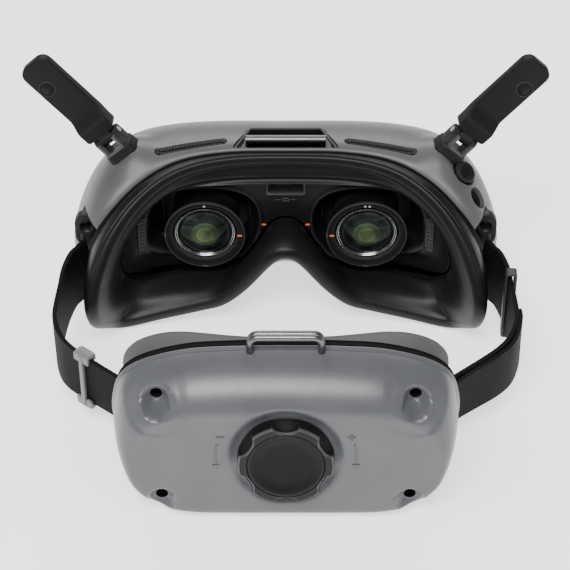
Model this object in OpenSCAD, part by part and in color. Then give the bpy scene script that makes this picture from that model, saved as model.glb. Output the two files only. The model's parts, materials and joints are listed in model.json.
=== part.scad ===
// FPV goggles with a rear battery pack, side straps and folding antennas.
// Frame: +X the wearer's right, +Y forward, +Z up, all at rest on z = 0.

/* [Goggles shell] */
// Full width of the front shell
shell_w = 171; // [166:1:176]
// Height of the shell's top above the resting plane
shell_top = 70.5; // [69.5:0.5:71.5]
// Forward reach of the shell's nose
shell_front = 99.8; // [97:0.2:100]
// Wall thickness of the moulded shells
wall = 2; // [1.6:0.2:2.2]

/* [Optics] */
// Distance between the eyepiece centres at rest
eye_spacing = 64.8; // [63:0.2:66]
// Height of the eyepiece centres
eye_z = 36; // [35.5:0.5:36.5]
// Outer radius of an eyepiece sleeve
sleeve_r = 16.2; // [15.8:0.1:16.4]
// Radius of the eyepiece glass
glass_r = 10.7; // [10.3:0.1:11]
// Travel of an eyepiece to each side
ipd_travel = 4; // [3:0.5:4]

/* [Antennas] */
// Length of an antenna paddle from its hinge
paddle_l = 43; // [38:1:46]
// Width of an antenna paddle
paddle_w = 13.8; // [12:0.2:15]
// Thickness of an antenna paddle
paddle_t = 4.6; // [4:0.2:5]

/* [Straps] */
// Thickness of the woven strap
strap_t = 1.8; // [1.4:0.2:1.8]
// Width of the strap at the goggles
strap_wide = 29; // [26:1:30]
// Width of the strap at the battery pack
strap_narrow = 20; // [18:1:22]

/* [Battery pack] */
// Full width of the battery pack
pack_w = 125; // [121:1:127]
// Height of the battery pack
pack_h = 62; // [60:1:63]
// Backward lean of the rear face, degrees
lean = 5.7; // [5:0.1:6.5]
// Outer radius of the adjusting knob
knob_r = 17.35; // [16.5:0.05:18]
// Height of the adjusting knob above the rear face
knob_h = 4.8; // [4.4:0.1:5.2]

/* [Hidden] */

$fn = 48;
eps = 0.01;
gap = 0.3;            // clearance between neighbouring pieces
fit = 0.05;           // running clearance on a radius
smoothing = 3;        // steps between two outline points

shell_grey = "#8c8c8c";
pack_grey = "#8e9194";
charcoal = "#2b2b2d";
black = "#1b1b1c";
satin = "#a9abad";
frame_grey = "#3a3a3c";
board_green = "#1f3d2b";
glass_tint = "#2f4a3c";
screen_tint = "#303844";
cell_blue = "#3b5c8a";
buckle_grey = "#858585";

// Width and height factors that stretch the outlines with the driving sizes
kx = shell_w / 171;
px = pack_w / 125;
pz = pack_h / 62;

// ---- Outlines: right half, from the top centre round to the bottom centre ----
// Rear edge of the shell
edge_half = [[0, 41, 69], [24, 40.5, 68.8], [43, 37, 67], [58, 30, 61.5], [70, 22, 52], [77, 20, 41],
    [78.5, 29, 30], [78.5, 31, 16], [74, 31, 5.5], [64, 31, 2], [50, 32, 1.8], [35, 33, 4.5],
    [24, 33, 9], [15, 33, 15], [6, 33, 23], [0, 33, 26]];
// Widest section of the shell
wide_half = [[0, 46, shell_top], [27, 46, shell_top], [48, 45, 69.2], [64, 43, 65.4], [75, 41, 57],
    [82, 38.5, 45], [85.5, 37, 31], [84, 38, 15], [77, 40, 4], [65, 43, -0.5], [50, 46, -0.8],
    [35, 48, 0], [23, 49, 3], [14, 50, 7], [6, 51, 10], [0, 51, 11]];
// Outer rim of the foam's seat
seat_half = [[0, 40, 68.6], [24, 39.5, 68.4], [43, 36, 66.6], [58, 29, 61], [69.5, 20.5, 51.5],
    [76.5, 14.5, 40], [79, 12, 27], [78, 14, 15], [72.5, 18, 6.5], [63.5, 22, 3.4], [50, 25, 3.6],
    [35, 27, 6.5], [24, 28, 11.5], [15, 28.5, 18], [6, 29, 26], [0, 29, 29]];
// Crest of the foam, where the face rests
crest_half = [[0, 34, 70], [24, 33, 69.5], [43, 28, 67], [58, 19, 60], [69, 9, 48.5], [75.5, 0, 35],
    [77.5, -4, 24], [76, 0, 12.5], [70, 9, 4.2], [63, 12.5, 2.1], [50, 15, 4], [35, 16, 7.4],
    [25, 16, 10.8], [16, 16, 18.8], [6, 16, 31.5], [0, 16, 34.5]];
// Rim of the inner panel
panel_half = [[0, 36, 58.5], [24, 36, 58], [42, 35, 56], [53, 32, 51], [60, 30, 43], [64.5, 27, 34],
    [66, 26, 25], [64, 27, 18], [58, 29, 14.5], [50, 32, 14.5], [38, 34, 15.5], [28, 35, 16],
    [19, 35, 18.5], [12.5, 35, 27], [6.5, 36, 37], [0, 36, 40]];
// Rim and rear face of the battery pack, and the head pad's outline
rim_half = [[0, 0, 62], [20, 0, 61.6], [36, 0, 60.2], [51, 0, 55.5], [59, 0, 49], [62, 0, 40],
    [62.5, 0, 31], [60.5, 0, 21], [56.5, 0, 12], [48, 0, 4], [36, 0, 0], [18, 0, -0.5], [0, 0, -0.5]];
face_half = [[0, 0, 46], [20, 0, 46], [34, 0, 45.5], [45, 0, 42.5], [51, 0, 38], [54.5, 0, 32],
    [55.5, 0, 27], [54, 0, 20], [51, 0, 14], [44, 0, 8.5], [34, 0, 6], [18, 0, 5.5], [0, 0, 5.5]];
pad_half = [[0, 0, 55.5], [18, 0, 56], [40, 0, 57], [52.5, 0, 53.3], [59, 0, 46.5], [59, 0, 38.5],
    [56.6, 0, 31], [55.5, 0, 21], [51, 0, 11], [42, 0, 5], [30, 0, 3], [15, 0, 3], [0, 0, 3]];

// ---- Curve and loft functions ----
function spline(a, b, c, d, t) =
    0.5 * (2 * b + (c - a) * t + (2 * a - 5 * b + 4 * c - d) * t * t
        + (3 * b - a - 3 * c + d) * t * t * t);
function mirrored(half) =
    concat(half, [for (i = [len(half) - 2 : -1 : 1]) [-half[i].x, half[i].y, half[i].z]]);
function closed_curve(p) =
    [for (i = [0 : len(p) - 1]) for (k = [0 : smoothing - 1])
        spline(p[(i + len(p) - 1) % len(p)], p[i], p[(i + 1) % len(p)], p[(i + 2) % len(p)],
            k / smoothing)];
function outline(half, sx = 1, sz = 1) =
    closed_curve(mirrored([for (p = half) [p.x * sx, p.y, p.z * sz]]));
function unit(v) = v / norm(v);
// Outward direction of a ring at point i, in the XZ plane
function outward(ring, i) =
    let (n = len(ring), t = ring[(i + 1) % n] - ring[(i + n - 1) % n])
    unit([-t.z, 0, t.x]);
function inset(ring, d) = [for (i = [0 : len(ring) - 1]) ring[i] - outward(ring, i) * d];
function shift(ring, dy) = [for (p = ring) p + [0, dy, 0]];
function between(a, b, t) = [for (i = [0 : len(a) - 1]) a[i] + (b[i] - a[i]) * t];
// A wall from ring a to ring b at fraction t, swollen outwards by d at its middle
function swollen(a, b, t, d) =
    let (m = between(a, b, t)) inset(m, -d * sin(180 * t));
function centre_of(ring) = [for (k = [0 : 2]) [for (p = ring) p[k]] * [for (p = ring) 1] / len(ring)];
function strip(j, k, n) =
    [for (i = [0 : n - 1]) each [[j * n + i, j * n + (i + 1) % n, k * n + (i + 1) % n],
        [j * n + i, k * n + (i + 1) % n, k * n + i]]];

// Solid skin over a row of rings, closed by a point at each end
module capped_loft(rings, first, last) {
    n = len(rings[0]);
    m = len(rings);
    polyhedron(
        points = concat([for (r = rings) each r], [first, last]),
        faces = concat(
            [for (j = [0 : m - 2]) each strip(j, j + 1, n)],
            [for (i = [0 : n - 1]) [m * n, (i + 1) % n, i]],
            [for (i = [0 : n - 1]) [m * n + 1, (m - 1) * n + i, (m - 1) * n + (i + 1) % n]]));
}
// Ring-shaped solid: the last ring joins the first
module ring_loft(rings) {
    n = len(rings[0]);
    m = len(rings);
    polyhedron(
        points = [for (r = rings) each r],
        faces = [for (j = [0 : m - 1]) each strip(j, (j + 1) % m, n)]);
}

module mirror_x(side) {
    mirror([side < 0 ? 1 : 0, 0, 0]) children();
}
module both_sides() {
    for (side = [-1, 1]) mirror_x(side) children();
}
// Places children with their +Z along direction d
module aim(at, d) {
    translate(at) rotate([0, acos(d.z / norm(d)), atan2(d.y, d.x)]) children();
}
module along_x(l, r) {
    translate([-l / 2, 0, 0]) rotate([0, 90, 0]) cylinder(r = r, h = l);
}
module along_y(l, r) {
    rotate([-90, 0, 0]) cylinder(r = r, h = l);
}
// Box with rounded vertical edges, centred in X and Y
module slab(x, y, h, r) {
    linear_extrude(h) rounded_rect(x, y, r);
}
module rounded_rect(x, y, r) {
    square([x - 2 * r, y], center = true);
    square([x, y - 2 * r], center = true);
    for (i = [-1, 1], j = [-1, 1]) translate([i * (x / 2 - r), j * (y / 2 - r)]) circle(r);
}
// Racetrack between two points
module track(a, b, r) {
    translate(a) circle(r);
    translate(b) circle(r);
    translate(a) rotate(atan2(b.y - a.y, b.x - a.x)) translate([0, -r]) square([norm(b - a), 2 * r]);
}

// ---- Shell of the goggles ----
edge_ring = outline(edge_half, kx);
wide_ring = outline(wide_half, kx);
seat_ring = outline(seat_half, kx);
crest_ring = outline(crest_half, kx);
panel_ring = outline(panel_half, kx);
nose_z = 30;             // height of the foremost point
flare = [0.35, 0.7];     // steps from the rear edge to the widest section
dome_steps = [0, 14, 27, 40, 52, 64, 76];

function flare_ring(a, b, t) =
    [for (i = [0 : len(a) - 1]) [a[i].x + (b[i].x - a[i].x) * sin(90 * t),
        a[i].y + (b[i].y - a[i].y) * (1 - cos(90 * t)),
        a[i].z + (b[i].z - a[i].z) * sin(90 * t)]];
function fall(z, c) = z > nose_z ? 0.2 * c + 0.8 * c * c : pow(c, 0.75);
function dome_ring(w, front, b) =
    [for (p = w) [p.x * pow(cos(b), 0.6), p.y + (front - p.y) * sin(b),
        nose_z + (p.z - nose_z) * fall(p.z, cos(b))]];
function shell_rings(e, w, front) =
    concat([e], [for (t = flare) flare_ring(e, w, t)], [for (b = dome_steps) dome_ring(w, front, b)]);
function reversed(v) = [for (i = [len(v) - 1 : -1 : 0]) v[i]];

module shell_skin() {
    outer = shell_rings(edge_ring, wide_ring, shell_front);
    inner = shell_rings(inset(edge_ring, wall), inset(wide_ring, wall), shell_front - wall);
    capped_loft(concat(reversed(outer), inner),
        [0, shell_front, nose_z], [0, shell_front - wall, nose_z]);
}

vent_a = [25, 45.6];
vent_b = [50, 40.9];
vent_r = 1.9;
module vent_slot(r, z0, z1) {
    translate([0, 0, z0]) linear_extrude(z1 - z0) track(vent_a, vent_b, r);
}

bracket_rear = 41.6;     // Y of the strap bracket's rear and front ends
bracket_front = 54.4;
bracket_floor = 62;
bracket_half_rear = 21.5;  // half widths of its two ends
bracket_half_front = 14.5;
module bracket_plan(grow) {
    a = bracket_half_rear + grow;
    b = bracket_half_front + grow;
    polygon([[-a, bracket_rear - grow], [a, bracket_rear - grow], [b, bracket_front + grow],
        [-b, bracket_front + grow]]);
}

hinge = [70, 45, 73];                      // axis of the right antenna
paddle_dir = unit([0.67, 0.06, 0.74]);     // from the hinge to the paddle's tip
stub_r = 6.6;
stub_l = 7.5;
module antenna_socket(grow) {
    aim(hinge - paddle_dir * (5.2 + stub_l), paddle_dir) cylinder(r = stub_r + grow, h = stub_l);
}

stick_at = [70.2, 38.2, 60];
stick_dir = unit([0.55, -0.35, 0.76]);
button_at = [73.6, 32.6, 50.6];
button_dir = unit([0.66, -0.35, 0.66]);
stick_well = 5.7;
button_r = 4.2;

lug_z = 40.6;
lug_at = [79.2, 27];
module lug_pocket(r, y0, y1) {
    translate([lug_at.x, y1, 0]) rotate([90, 0, 0]) linear_extrude(y1 - y0)
        track([0, lug_z - 3], [0, lug_z + 3], r);
}

knob_slot_y = 52;
focus_knob_r = 6;
module focus_slot(grow) {
    translate([eye_spacing / 2, knob_slot_y, -1]) linear_extrude(10)
        track([-ipd_travel, 0], [ipd_travel, 0], focus_knob_r + grow);
}

// The floor that the parts rest on
module below_floor() {
    translate([-150, -150, -20]) cube([300, 300, 20]);
}

module front_shell() color(shell_grey) difference() {
    shell_skin();
    below_floor();
    both_sides() {
        vent_slot(vent_r, 60, 76);
        antenna_socket(0.1);
        lug_pocket(5.6, 8, 33);
        focus_slot(0.8);
    }
    translate([0, 0, bracket_floor]) linear_extrude(14) bracket_plan(0.05);
    aim(stick_at - stick_dir * 7, stick_dir) cylinder(r = stick_well, h = 14);
    aim(button_at - button_dir * 7, button_dir) cylinder(r = button_r + 0.6, h = 14);
}

// Grille inserts with ribs, let into the vent slots
module top_vents() color(black) both_sides() difference() {
    windows = 9;
    vent_slot(vent_r - 0.15, 63.4, 66.6);
    for (i = [0 : windows - 1])
        translate(concat(vent_a + (vent_b - vent_a) * (i + 0.5) / windows, 65))
            rotate(70) cube([2.2, 1.3, 8], center = true);
}

bar_r = 1.8;
bar_at = [0, 48.8, 69.2];
module strap_bracket() color(charcoal) difference() {
    translate([0, 0, bracket_floor]) linear_extrude(12) bracket_plan(0);
    translate([0, 47.6, bracket_floor + 1.5]) slab(31.4, 10.6, 20, 1.6);
    // sloping top face
    translate([-30, bracket_rear - 1, 69]) rotate([9, 0, 0]) cube([60, 30, 10]);
    translate(bar_at) along_x(33.3, bar_r + 0.02);
}
module strap_bar() color(satin) translate(bar_at) along_x(33.2, bar_r);

// ---- Foam and its carrier ----
module foam_carrier() color(black) {
    lip = inset(edge_ring, wall + 0.2);
    throat = inset(panel_ring, -1.2);
    ring_loft([shift(edge_ring, -0.2), shift(seat_ring, 0), throat, shift(throat, 1.4),
        shift(between(throat, lip, 0.8), 1.2), shift(lip, -0.2)]);
}
module face_foam() color(charcoal) {
    seat = shift(seat_ring, -0.5);
    throat = shift(inset(panel_ring, -0.6), -0.5);
    crest_out = inset(crest_ring, -1.1);
    ring_loft([seat, swollen(seat, crest_out, 0.5, 0.8), shift(crest_out, 1.4), crest_ring,
        shift(inset(crest_ring, 3), 0.2), swollen(inset(crest_ring, 4.6), throat, 0.4, -1.6),
        shift(inset(throat, 0.4), -2), throat]);
}

// ---- Inner panel ----
panel_t = 2;
module panel_plan() {
    polygon([for (p = inset(panel_ring, 0.4)) [p.x, p.z]]);
}
// Section in plan: flat across the middle, swept back at the temples
module panel_section() {
    flat = 46;
    sweep_r = 24;
    translate([-flat, 36.4]) square([2 * flat, panel_t]);
    for (side = [-1, 1])
        translate([side * flat, 36.4 + panel_t - sweep_r]) intersection() {
            difference() {
                circle(sweep_r);
                circle(sweep_r - panel_t);
            }
            translate([side < 0 ? -sweep_r : 0, 6]) square([sweep_r, sweep_r]);
        }
}
module eye_hole() {
    translate([eye_spacing / 2, 0]) rounded_rect(43.2, 35.6, 17.7);
}
card_z = 56.1;
module inner_panel() color(black) difference() {
    intersection() {
        linear_extrude(70) panel_section();
        translate([0, 60, 0]) rotate([90, 0, 0]) linear_extrude(60) panel_plan();
    }
    translate([0, 60, eye_z]) rotate([90, 0, 0]) linear_extrude(60) {
        eye_hole();
        mirror([1, 0]) eye_hole();
    }
    translate([-7.2, 30, card_z - 0.9]) cube([14.4, 12, 1.8]);
}
// Perforated strips at the outer ends of the panel
module side_grilles() color(charcoal) both_sides() difference() {
    translate([56.4, 32.6, 26]) rotate([0, 0, -32]) cube([3.4, 0.9, 16]);
    translate([56.4, 32.6, 26]) rotate([0, 0, -32])
        for (i = [0, 1], k = [0 : 7])
            translate([1.1 + 1.2 * i, -1, 1.5 + 1.9 * k]) along_y(3, 0.35, $fn = 16);
}
module card_socket() color(satin) translate([0, 38.6, card_z - 1.9]) difference() {
    translate([-8.2, 0, 0]) cube([16.4, 15, 3.8]);
    translate([-7.2, -1, 1]) cube([14.4, 14, 1.8]);
}

// ---- Optical frame ----
frame_x = 57;
rail_y = 53.5;
rail_r = 1.5;
rail_rise = 16;
display_y = 58.2;
module chassis() color(frame_grey) difference() {
    union() {
        translate([-frame_x - 2.4, 62, 19]) cube([2 * frame_x + 4.8, 2, 34]);
        for (side = [-1, 1]) translate([side * (frame_x + 1.2) - 1.2, 41, 19]) cube([2.4, 23, 35]);
    }
    for (s = [-1, 1]) translate([0, rail_y, eye_z + s * rail_rise]) along_x(200, rail_r);
    for (x = [-40, 0, 40]) translate([x, 61, 36]) along_y(4, 5);
}
module guide_rails() color(satin)
    for (s = [-1, 1]) translate([0, rail_y, eye_z + s * rail_rise])
        along_x(2 * frame_x + 4.8, rail_r);

carriage_w = 37;
slot_cover = 21;
tube_r = 12.9;
shaft_r = 2;
module carriage() difference() {
    union() {
        translate([eye_spacing / 2, 29, eye_z]) along_y(22, sleeve_r);
        translate([eye_spacing / 2 - carriage_w / 2, 50.2, eye_z - 19]) cube([carriage_w, 7, 38]);
        // cover over the dial's slot, and the boss that carries it
        translate([eye_spacing / 2 - slot_cover / 2, 43, 9.8]) cube([slot_cover, 15, 0.9]);
        translate([eye_spacing / 2, knob_slot_y, 9.8]) cylinder(r = 3.8, h = 7.6);
    }
    translate([eye_spacing / 2, 20, eye_z]) along_y(50, tube_r + fit);
    for (s = [-1, 1]) translate([eye_spacing / 2, rail_y, eye_z + s * rail_rise])
        along_x(80, rail_r + fit);
    translate([eye_spacing / 2, knob_slot_y, 9]) cylinder(r = shaft_r + fit, h = 9.4);
}
module carriage_left() color(charcoal) mirror_x(-1) carriage();
module carriage_right() color(charcoal) carriage();

module display() translate([eye_spacing / 2 - 14, display_y, eye_z - 11]) difference() {
    cube([28, 2.4, 22]);
    translate([4, -1, 3]) cube([20, 1.5, 16]);
}
module display_left() color(screen_tint) mirror_x(-1) display();
module display_right() color(screen_tint) display();

// The tube slides in the sleeve to focus; 1.5 mm each way
focus_travel = 1.5;
module focus_tube() translate([eye_spacing / 2, 0, eye_z]) difference() {
    translate([0, 31.2, 0]) along_y(18, tube_r);
    translate([0, 20, 0]) along_y(40, glass_r - 0.7);
    translate([0, 20, 0]) along_y(17.4, glass_r + 0.02);
    translate([0, 20, 0]) along_y(12.4, glass_r + 1.32);
}
module focus_tube_left() color(black) mirror_x(-1) focus_tube();
module focus_tube_right() color(black) focus_tube();

module lens() translate([eye_spacing / 2, 0, eye_z]) rotate([-90, 0, 0]) rotate_extrude() {
    lens_pts = [for (k = [0 : 8]) [glass_r * k / 8, 31.6 - 2.6 * (1 - pow(k / 8, 2))]];
    polygon(concat([[0, 37.2]], lens_pts, [[glass_r, 37.2]]));
}
module lens_left() color(glass_tint) mirror_x(-1) lens();
module lens_right() color(glass_tint) lens();

module lens_ring() translate([eye_spacing / 2, 30.6, eye_z]) difference() {
    along_y(1.7, glass_r + 1.3);
    translate([0, -1, 0]) along_y(5, glass_r + 0.05);
}
module lens_ring_left() color(satin) mirror_x(-1) lens_ring();
module lens_ring_right() color(satin) lens_ring();

module focus_knob() translate([eye_spacing / 2, knob_slot_y, 1.6]) {
    difference() {
        cylinder(r = focus_knob_r, h = 5);
        for (a = [0 : 20 : 340]) rotate(a) translate([focus_knob_r + 0.5, 0, -1]) cylinder(r = 0.8, h = 7);
    }
    cylinder(r = shaft_r, h = 16.6);
}
module focus_knob_left() color(charcoal) mirror_x(-1) focus_knob();
module focus_knob_right() color(charcoal) focus_knob();

// ---- Electronics ----
module main_board() color(board_green) difference() {
    translate([-50, 65, 14]) cube([100, 1.6, 40]);
    for (x = [-46, 46], z = [18, 50]) translate([x, 64, z]) along_y(4, 1.2);
}
module heat_sink() color(satin) {
    translate([-28, 67, 15]) cube([56, 2, 34]);
    for (i = [0 : 13]) translate([-28 + i * 4.2, 68.9, 15]) cube([1.4, 5.4, 34]);
}
fan_at = [0, 75, 32];
module fan_frame() color(charcoal) translate(fan_at) difference() {
    rotate([-90, 0, 0]) slab(30, 30, 8, 3);
    translate([0, 1.2, 0]) along_y(10, 13.4);
    translate([0, -1, 0]) along_y(10, 8);
}
module fan_rotor() color(black) translate(fan_at) {
    translate([0, 1.8, 0]) along_y(5.4, 5);
    for (a = [0 : 40 : 320]) rotate([0, a, 0]) translate([4.6, 2.2, -0.5]) rotate([18, 0, 0])
        cube([8, 4.6, 0.9]);
}

// ---- Antennas ----
pin_r = 1.3;
hinge_axis = unit([0.74, 0, -0.67]);
// Local frame at the right hinge: +Z along the paddle, +X along the hinge pin
module at_hinge() {
    z = paddle_dir;
    x = unit(hinge_axis - z * (hinge_axis * z));
    y = cross(z, x);
    multmatrix([[x.x, y.x, z.x, hinge.x], [x.y, y.y, z.y, hinge.y], [x.z, y.z, z.z, hinge.z]])
        children();
}
module antenna_base() difference() {
    union() {
        antenna_socket(0);
        at_hinge() for (s = [-1, 1]) translate([s * 4.6 - 1.3, -2.6, -5.4]) {
            cube([2.6, 5.2, 5.4]);
            translate([0, 2.6, 5.4]) rotate([0, 90, 0]) cylinder(r = 2.6, h = 2.6);
        }
    }
    at_hinge() along_x(20, pin_r);
}
module antenna_base_left() color(charcoal) mirror_x(-1) antenna_base();
// The right base is cut back beside the joystick
module antenna_base_right() color(charcoal) difference() {
    antenna_base();
    aim(stick_at - stick_dir * 8, stick_dir) cylinder(r = stick_well + 0.3, h = 18);
}
module antenna_pins() color(satin) both_sides() at_hinge() along_x(11.8, pin_r);

blade_from = 13;         // where the flat blade starts, measured from the hinge
module antenna() at_hinge() difference() {
    union() {
        rotate([0, 90, 0]) translate([0, 0, -3.1]) cylinder(r = 2.5, h = 6.2);
        translate([-3.1, -2.5, 0]) cube([6.2, 5, 4.2]);
        // base block, then the S-bend and the flat paddle
        translate([0, 0, 3.2]) slab(paddle_w, 7.4, 7, 1.6);
        translate([0, 1.2, 9.8]) slab(paddle_w, 5.4, 5, 1.6);
        translate([0, paddle_t / 2 - 0.2, blade_from]) rotate([90, 0, 0])
            translate([0, (paddle_l - blade_from) / 2, -paddle_t / 2])
                slab(paddle_w, paddle_l - blade_from, paddle_t, 3.2);
    }
    along_x(20, pin_r + fit);
}
module antenna_left() color(charcoal) mirror_x(-1) antenna();
module antenna_right() color(charcoal) antenna();

// ---- Controls on the right shoulder ----
module joystick_base() color(black) aim(stick_at, stick_dir) difference() {
    translate([0, 0, -5.4]) cylinder(r = stick_well - 0.1, h = 4.4);
    translate([0, 0, -4.8]) cylinder(r = stick_well - 0.9, h = 6);
}
module joystick_gimbal() color(satin) aim(stick_at, stick_dir) difference() {
    translate([0, 0, -3.9]) cylinder(r = 4.1, h = 1.6);
    translate([0, 0, -5]) cylinder(r = 3, h = 4);
}
module joystick_stem() color(satin) aim(stick_at, stick_dir) {
    translate([0, 0, -3.9]) cylinder(r = 2.5, h = 1.6);
    translate([0, 0, -2.5]) cylinder(r = 1.1, h = 3.2);
}
module joystick_cap() color(black) aim(stick_at, stick_dir) difference() {
    union() {
        translate([0, 0, -0.6]) cylinder(r = 1.9, h = 2);
        translate([0, 0, 0.9]) cylinder(r1 = 4.7, r2 = 4.4, h = 1.5);
    }
    translate([0, 0, -2]) cylinder(r = 1.15, h = 3.5);
    translate([0, 0, 12]) sphere(r = 10.2);
}
module back_button() color(black) aim(button_at, button_dir) difference() {
    union() {
        translate([0, 0, -1.6]) cylinder(r = button_r, h = 2.8);
        translate([0, 0, -2.6]) cylinder(r = button_r + 0.4, h = 1.1);
    }
    translate([0, 0, 9]) sphere(r = 8.3);
}

// ---- Straps ----
front_path = [[82.3, 24.5], [85.6, 18.5], [87.4, 10], [88, 0], [87.5, -12], [86.8, -17]];
rear_path = [[90.3, 0], [90.2, -13], [88.8, -21], [85.6, -28.6], [80.5, -35.5], [70, -44.5], [62, -51.5],
    [59.6, -56], [59, -62.6]];
strap_top = 36;
strap_drop = 4;          // fall of the strap's top edge from the goggles to the pack
function normal_at(p, i) =
    let (a = p[max(i - 1, 0)], b = p[min(i + 1, len(p) - 1)], t = unit(b - a)) [-t.y, t.x];
function band(p, t) = concat([for (i = [0 : len(p) - 1]) p[i] + normal_at(p, i) * t / 2],
    [for (i = [len(p) - 1 : -1 : 0]) p[i] - normal_at(p, i) * t / 2]);
// Side view of the whole strap: it narrows from the goggles to the pack
module strap_side() {
    far = -64;
    near = 30;
    translate([100, 0, 0]) rotate([90, 0, -90]) linear_extrude(60) polygon([
        [-near, strap_top], [-far, strap_top - strap_drop],
        [-far, strap_top - strap_drop - strap_narrow], [-near, strap_top - strap_wide]]);
}
module strap_run(path) intersection() {
    linear_extrude(60) polygon(band(path, strap_t));
    strap_side();
}
module front_strap_left() color(black) mirror_x(-1) strap_run(front_path);
module front_strap_right() color(black) strap_run(front_path);
module rear_strap_left() color(black) mirror_x(-1) strap_run(rear_path);
module rear_strap_right() color(black) strap_run(rear_path);

module strap_anchor() {
    difference() {
        lug_pocket(4.6, lug_at.y - 0.6, lug_at.y + 3.4);
        translate([lug_at.x, lug_at.y - 5, lug_z + 1.6]) along_y(20, 2.3);
    }
    translate([lug_at.x + 1.7, lug_at.y + 0.4, 6]) cylinder(r = 1.4, h = 33);
}
module strap_anchor_left() color(black) mirror_x(-1) strap_anchor();
module strap_anchor_right() color(black) strap_anchor();

keeper_at = [87.8, 5];
module strap_keeper() color(black) translate([keeper_at.x, keeper_at.y, 7]) rotate([0, 0, 3]) difference() {
    translate([-2.6, -2.2, -2.4]) cube([5.6, 4.4, 32.6]);
    translate([-1.6, -4, -1.2]) cube([3.2, 8, 30.4]);
}

buckle_at = [75.4, -39.9];
module strap_buckle() color(buckle_grey) mirror_x(-1) translate([buckle_at.x, buckle_at.y, 7.4])
    rotate([0, 0, 40.6]) difference() {
        translate([-4.6, -2.1, 0]) cube([9.2, 4.2, 29]);
        translate([-8, -1.3, 1.8]) cube([16, 2.6, 25]);
        for (s = [-1, 1]) translate([s * 2.3 - 1.2, -3, 3.4]) cube([2.4, 6, 21.2]);
    }

// ---- Battery pack ----
rim_y = -67;
face_y = -93.7;
face_slope = tan(lean);
rim_ring = shift(outline(rim_half, px, pz), rim_y);
face_ring = [for (p = outline(face_half, px, pz)) [p.x, face_y + face_slope * p.z, p.z]];
// Fullness of the case's edge: rounder at the bottom, more sloping at the top
function fullness(z) = let (t = min(1, max(0, (z - 14) / 34))) 0.6 + 0.65 * t * t * (3 - 2 * t);
function pack_ring(rim, face, b) =
    [for (i = [0 : len(rim) - 1]) let (c = pow(cos(b), fullness(rim[i].z)))
        [face[i].x + (rim[i].x - face[i].x) * c, rim[i].y + (face[i].y - rim[i].y) * sin(b),
            face[i].z + (rim[i].z - face[i].z) * c]];
module pack_skin() {
    turns = [0, 18, 36, 54, 72, 90];
    inner_rim = inset(rim_ring, wall);
    inner_face = shift(inset(face_ring, wall * 0.6), wall);
    outer = [for (b = turns) pack_ring(rim_ring, face_ring, b)];
    inner = [for (b = turns) pack_ring(inner_rim, inner_face, b)];
    capped_loft(concat(reversed(inner), outer),
        centre_of(inner_face), centre_of(face_ring));
}
knob_z = 29.2;
// Local frame of the knob: +Z outwards, +Y up the rear face
module at_knob() {
    translate([0, face_y + face_slope * knob_z, knob_z]) rotate([90 - lean, 0, 0]) children();
}
screw_top = [46, -79, 50];
screw_low = [45, -87, 9.6];
screw_r = 2.2;
dish_r = 20.6;
module at_screws() {
    for (s = [screw_top, screw_low]) both_sides() translate(s) rotate([90, 0, 0]) children();
}
bush_r = 6.5;
module rear_case() color(pack_grey) difference() {
    union() {
        pack_skin();
        intersection() {
            at_screws() translate([0, 0, -8]) cylinder(r = 4, h = 14);
            pack_core();
        }
        intersection() {
            at_knob() translate([0, 0, -5]) cylinder(r = dish_r + 1.6, h = 5);
            pack_core();
        }
    }
    below_floor();
    loop_feet(loop_r + 0.02);
    at_screws() translate([0, 0, -20]) cylinder(r = screw_r + 0.1, h = 40);
    at_knob() translate([0, 0, -1.8]) cylinder(r = dish_r, h = 12);
    at_knob() translate([0, 0, -12]) cylinder(r = bush_r, h = 14);
    translate([-30, -76, -2]) cylinder(r = 4.3, h = 8);
}
module pack_core() {
    turns = [0, 18, 36, 54, 72, 90];
    capped_loft([for (b = turns) pack_ring(rim_ring, face_ring, b)],
        centre_of(rim_ring), centre_of(face_ring));
}
module case_screws() color(black) at_screws() difference() {
    translate([0, 0, -9.5]) cylinder(r = screw_r, h = 8);
    translate([0, 0, -3]) cylinder(r = 1.1, h = 3, $fn = 6);
}
module pad_plate() color(charcoal) difference() {
    translate([0, rim_y + 2.8, 0]) rotate([90, 0, 0]) linear_extrude(2.6)
        polygon([for (p = rim_ring) [p.x * 0.995, 31 + (p.z - 31) * 0.995]]);
    below_floor();
    at_screws() translate([0, 0, -30]) cylinder(r = 1.2, h = 60);
}
function pad_ring(k, y, bow) =
    [for (p = outline(pad_half, px, pz)) [p.x * k, y + bow * pow(p.x / 56, 2),
        30 + (p.z - 30) * k]];
module head_pad() color(charcoal) {
    capped_loft([pad_ring(0.72, -52.6, 3), pad_ring(0.9, -53.2, 3.5), pad_ring(0.985, -55.6, 3.5),
        pad_ring(1, -58.5, 3), pad_ring(0.985, -62.4, 1), pad_ring(0.95, -63.9, 0)],
        [0, -52.4, 30], [0, -63.9, 30]);
}
module battery_cells() color(cell_blue) both_sides()
    translate([31.5, -77, 27]) rotate([90, 0, 0]) slab(25, 27, 6.8, 2);
module charge_board() color(board_green) translate([-20, -72.6, 50.4]) cube([40, 1.4, 7.6]);
module power_button() color(charcoal) translate([-30, -76, 0.6]) {
    cylinder(r = 4, h = 2.4);
    translate([0, 0, 2.1]) cylinder(r = 4.6, h = 0.9);
}
module knob_bush() color(satin) at_knob() translate([0, 0, -7]) difference() {
    cylinder(r = bush_r, h = 5.4);
    translate([0, 0, -1]) cylinder(r = 4 + fit, h = 8);
}
cap_r = 13.7;
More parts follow.
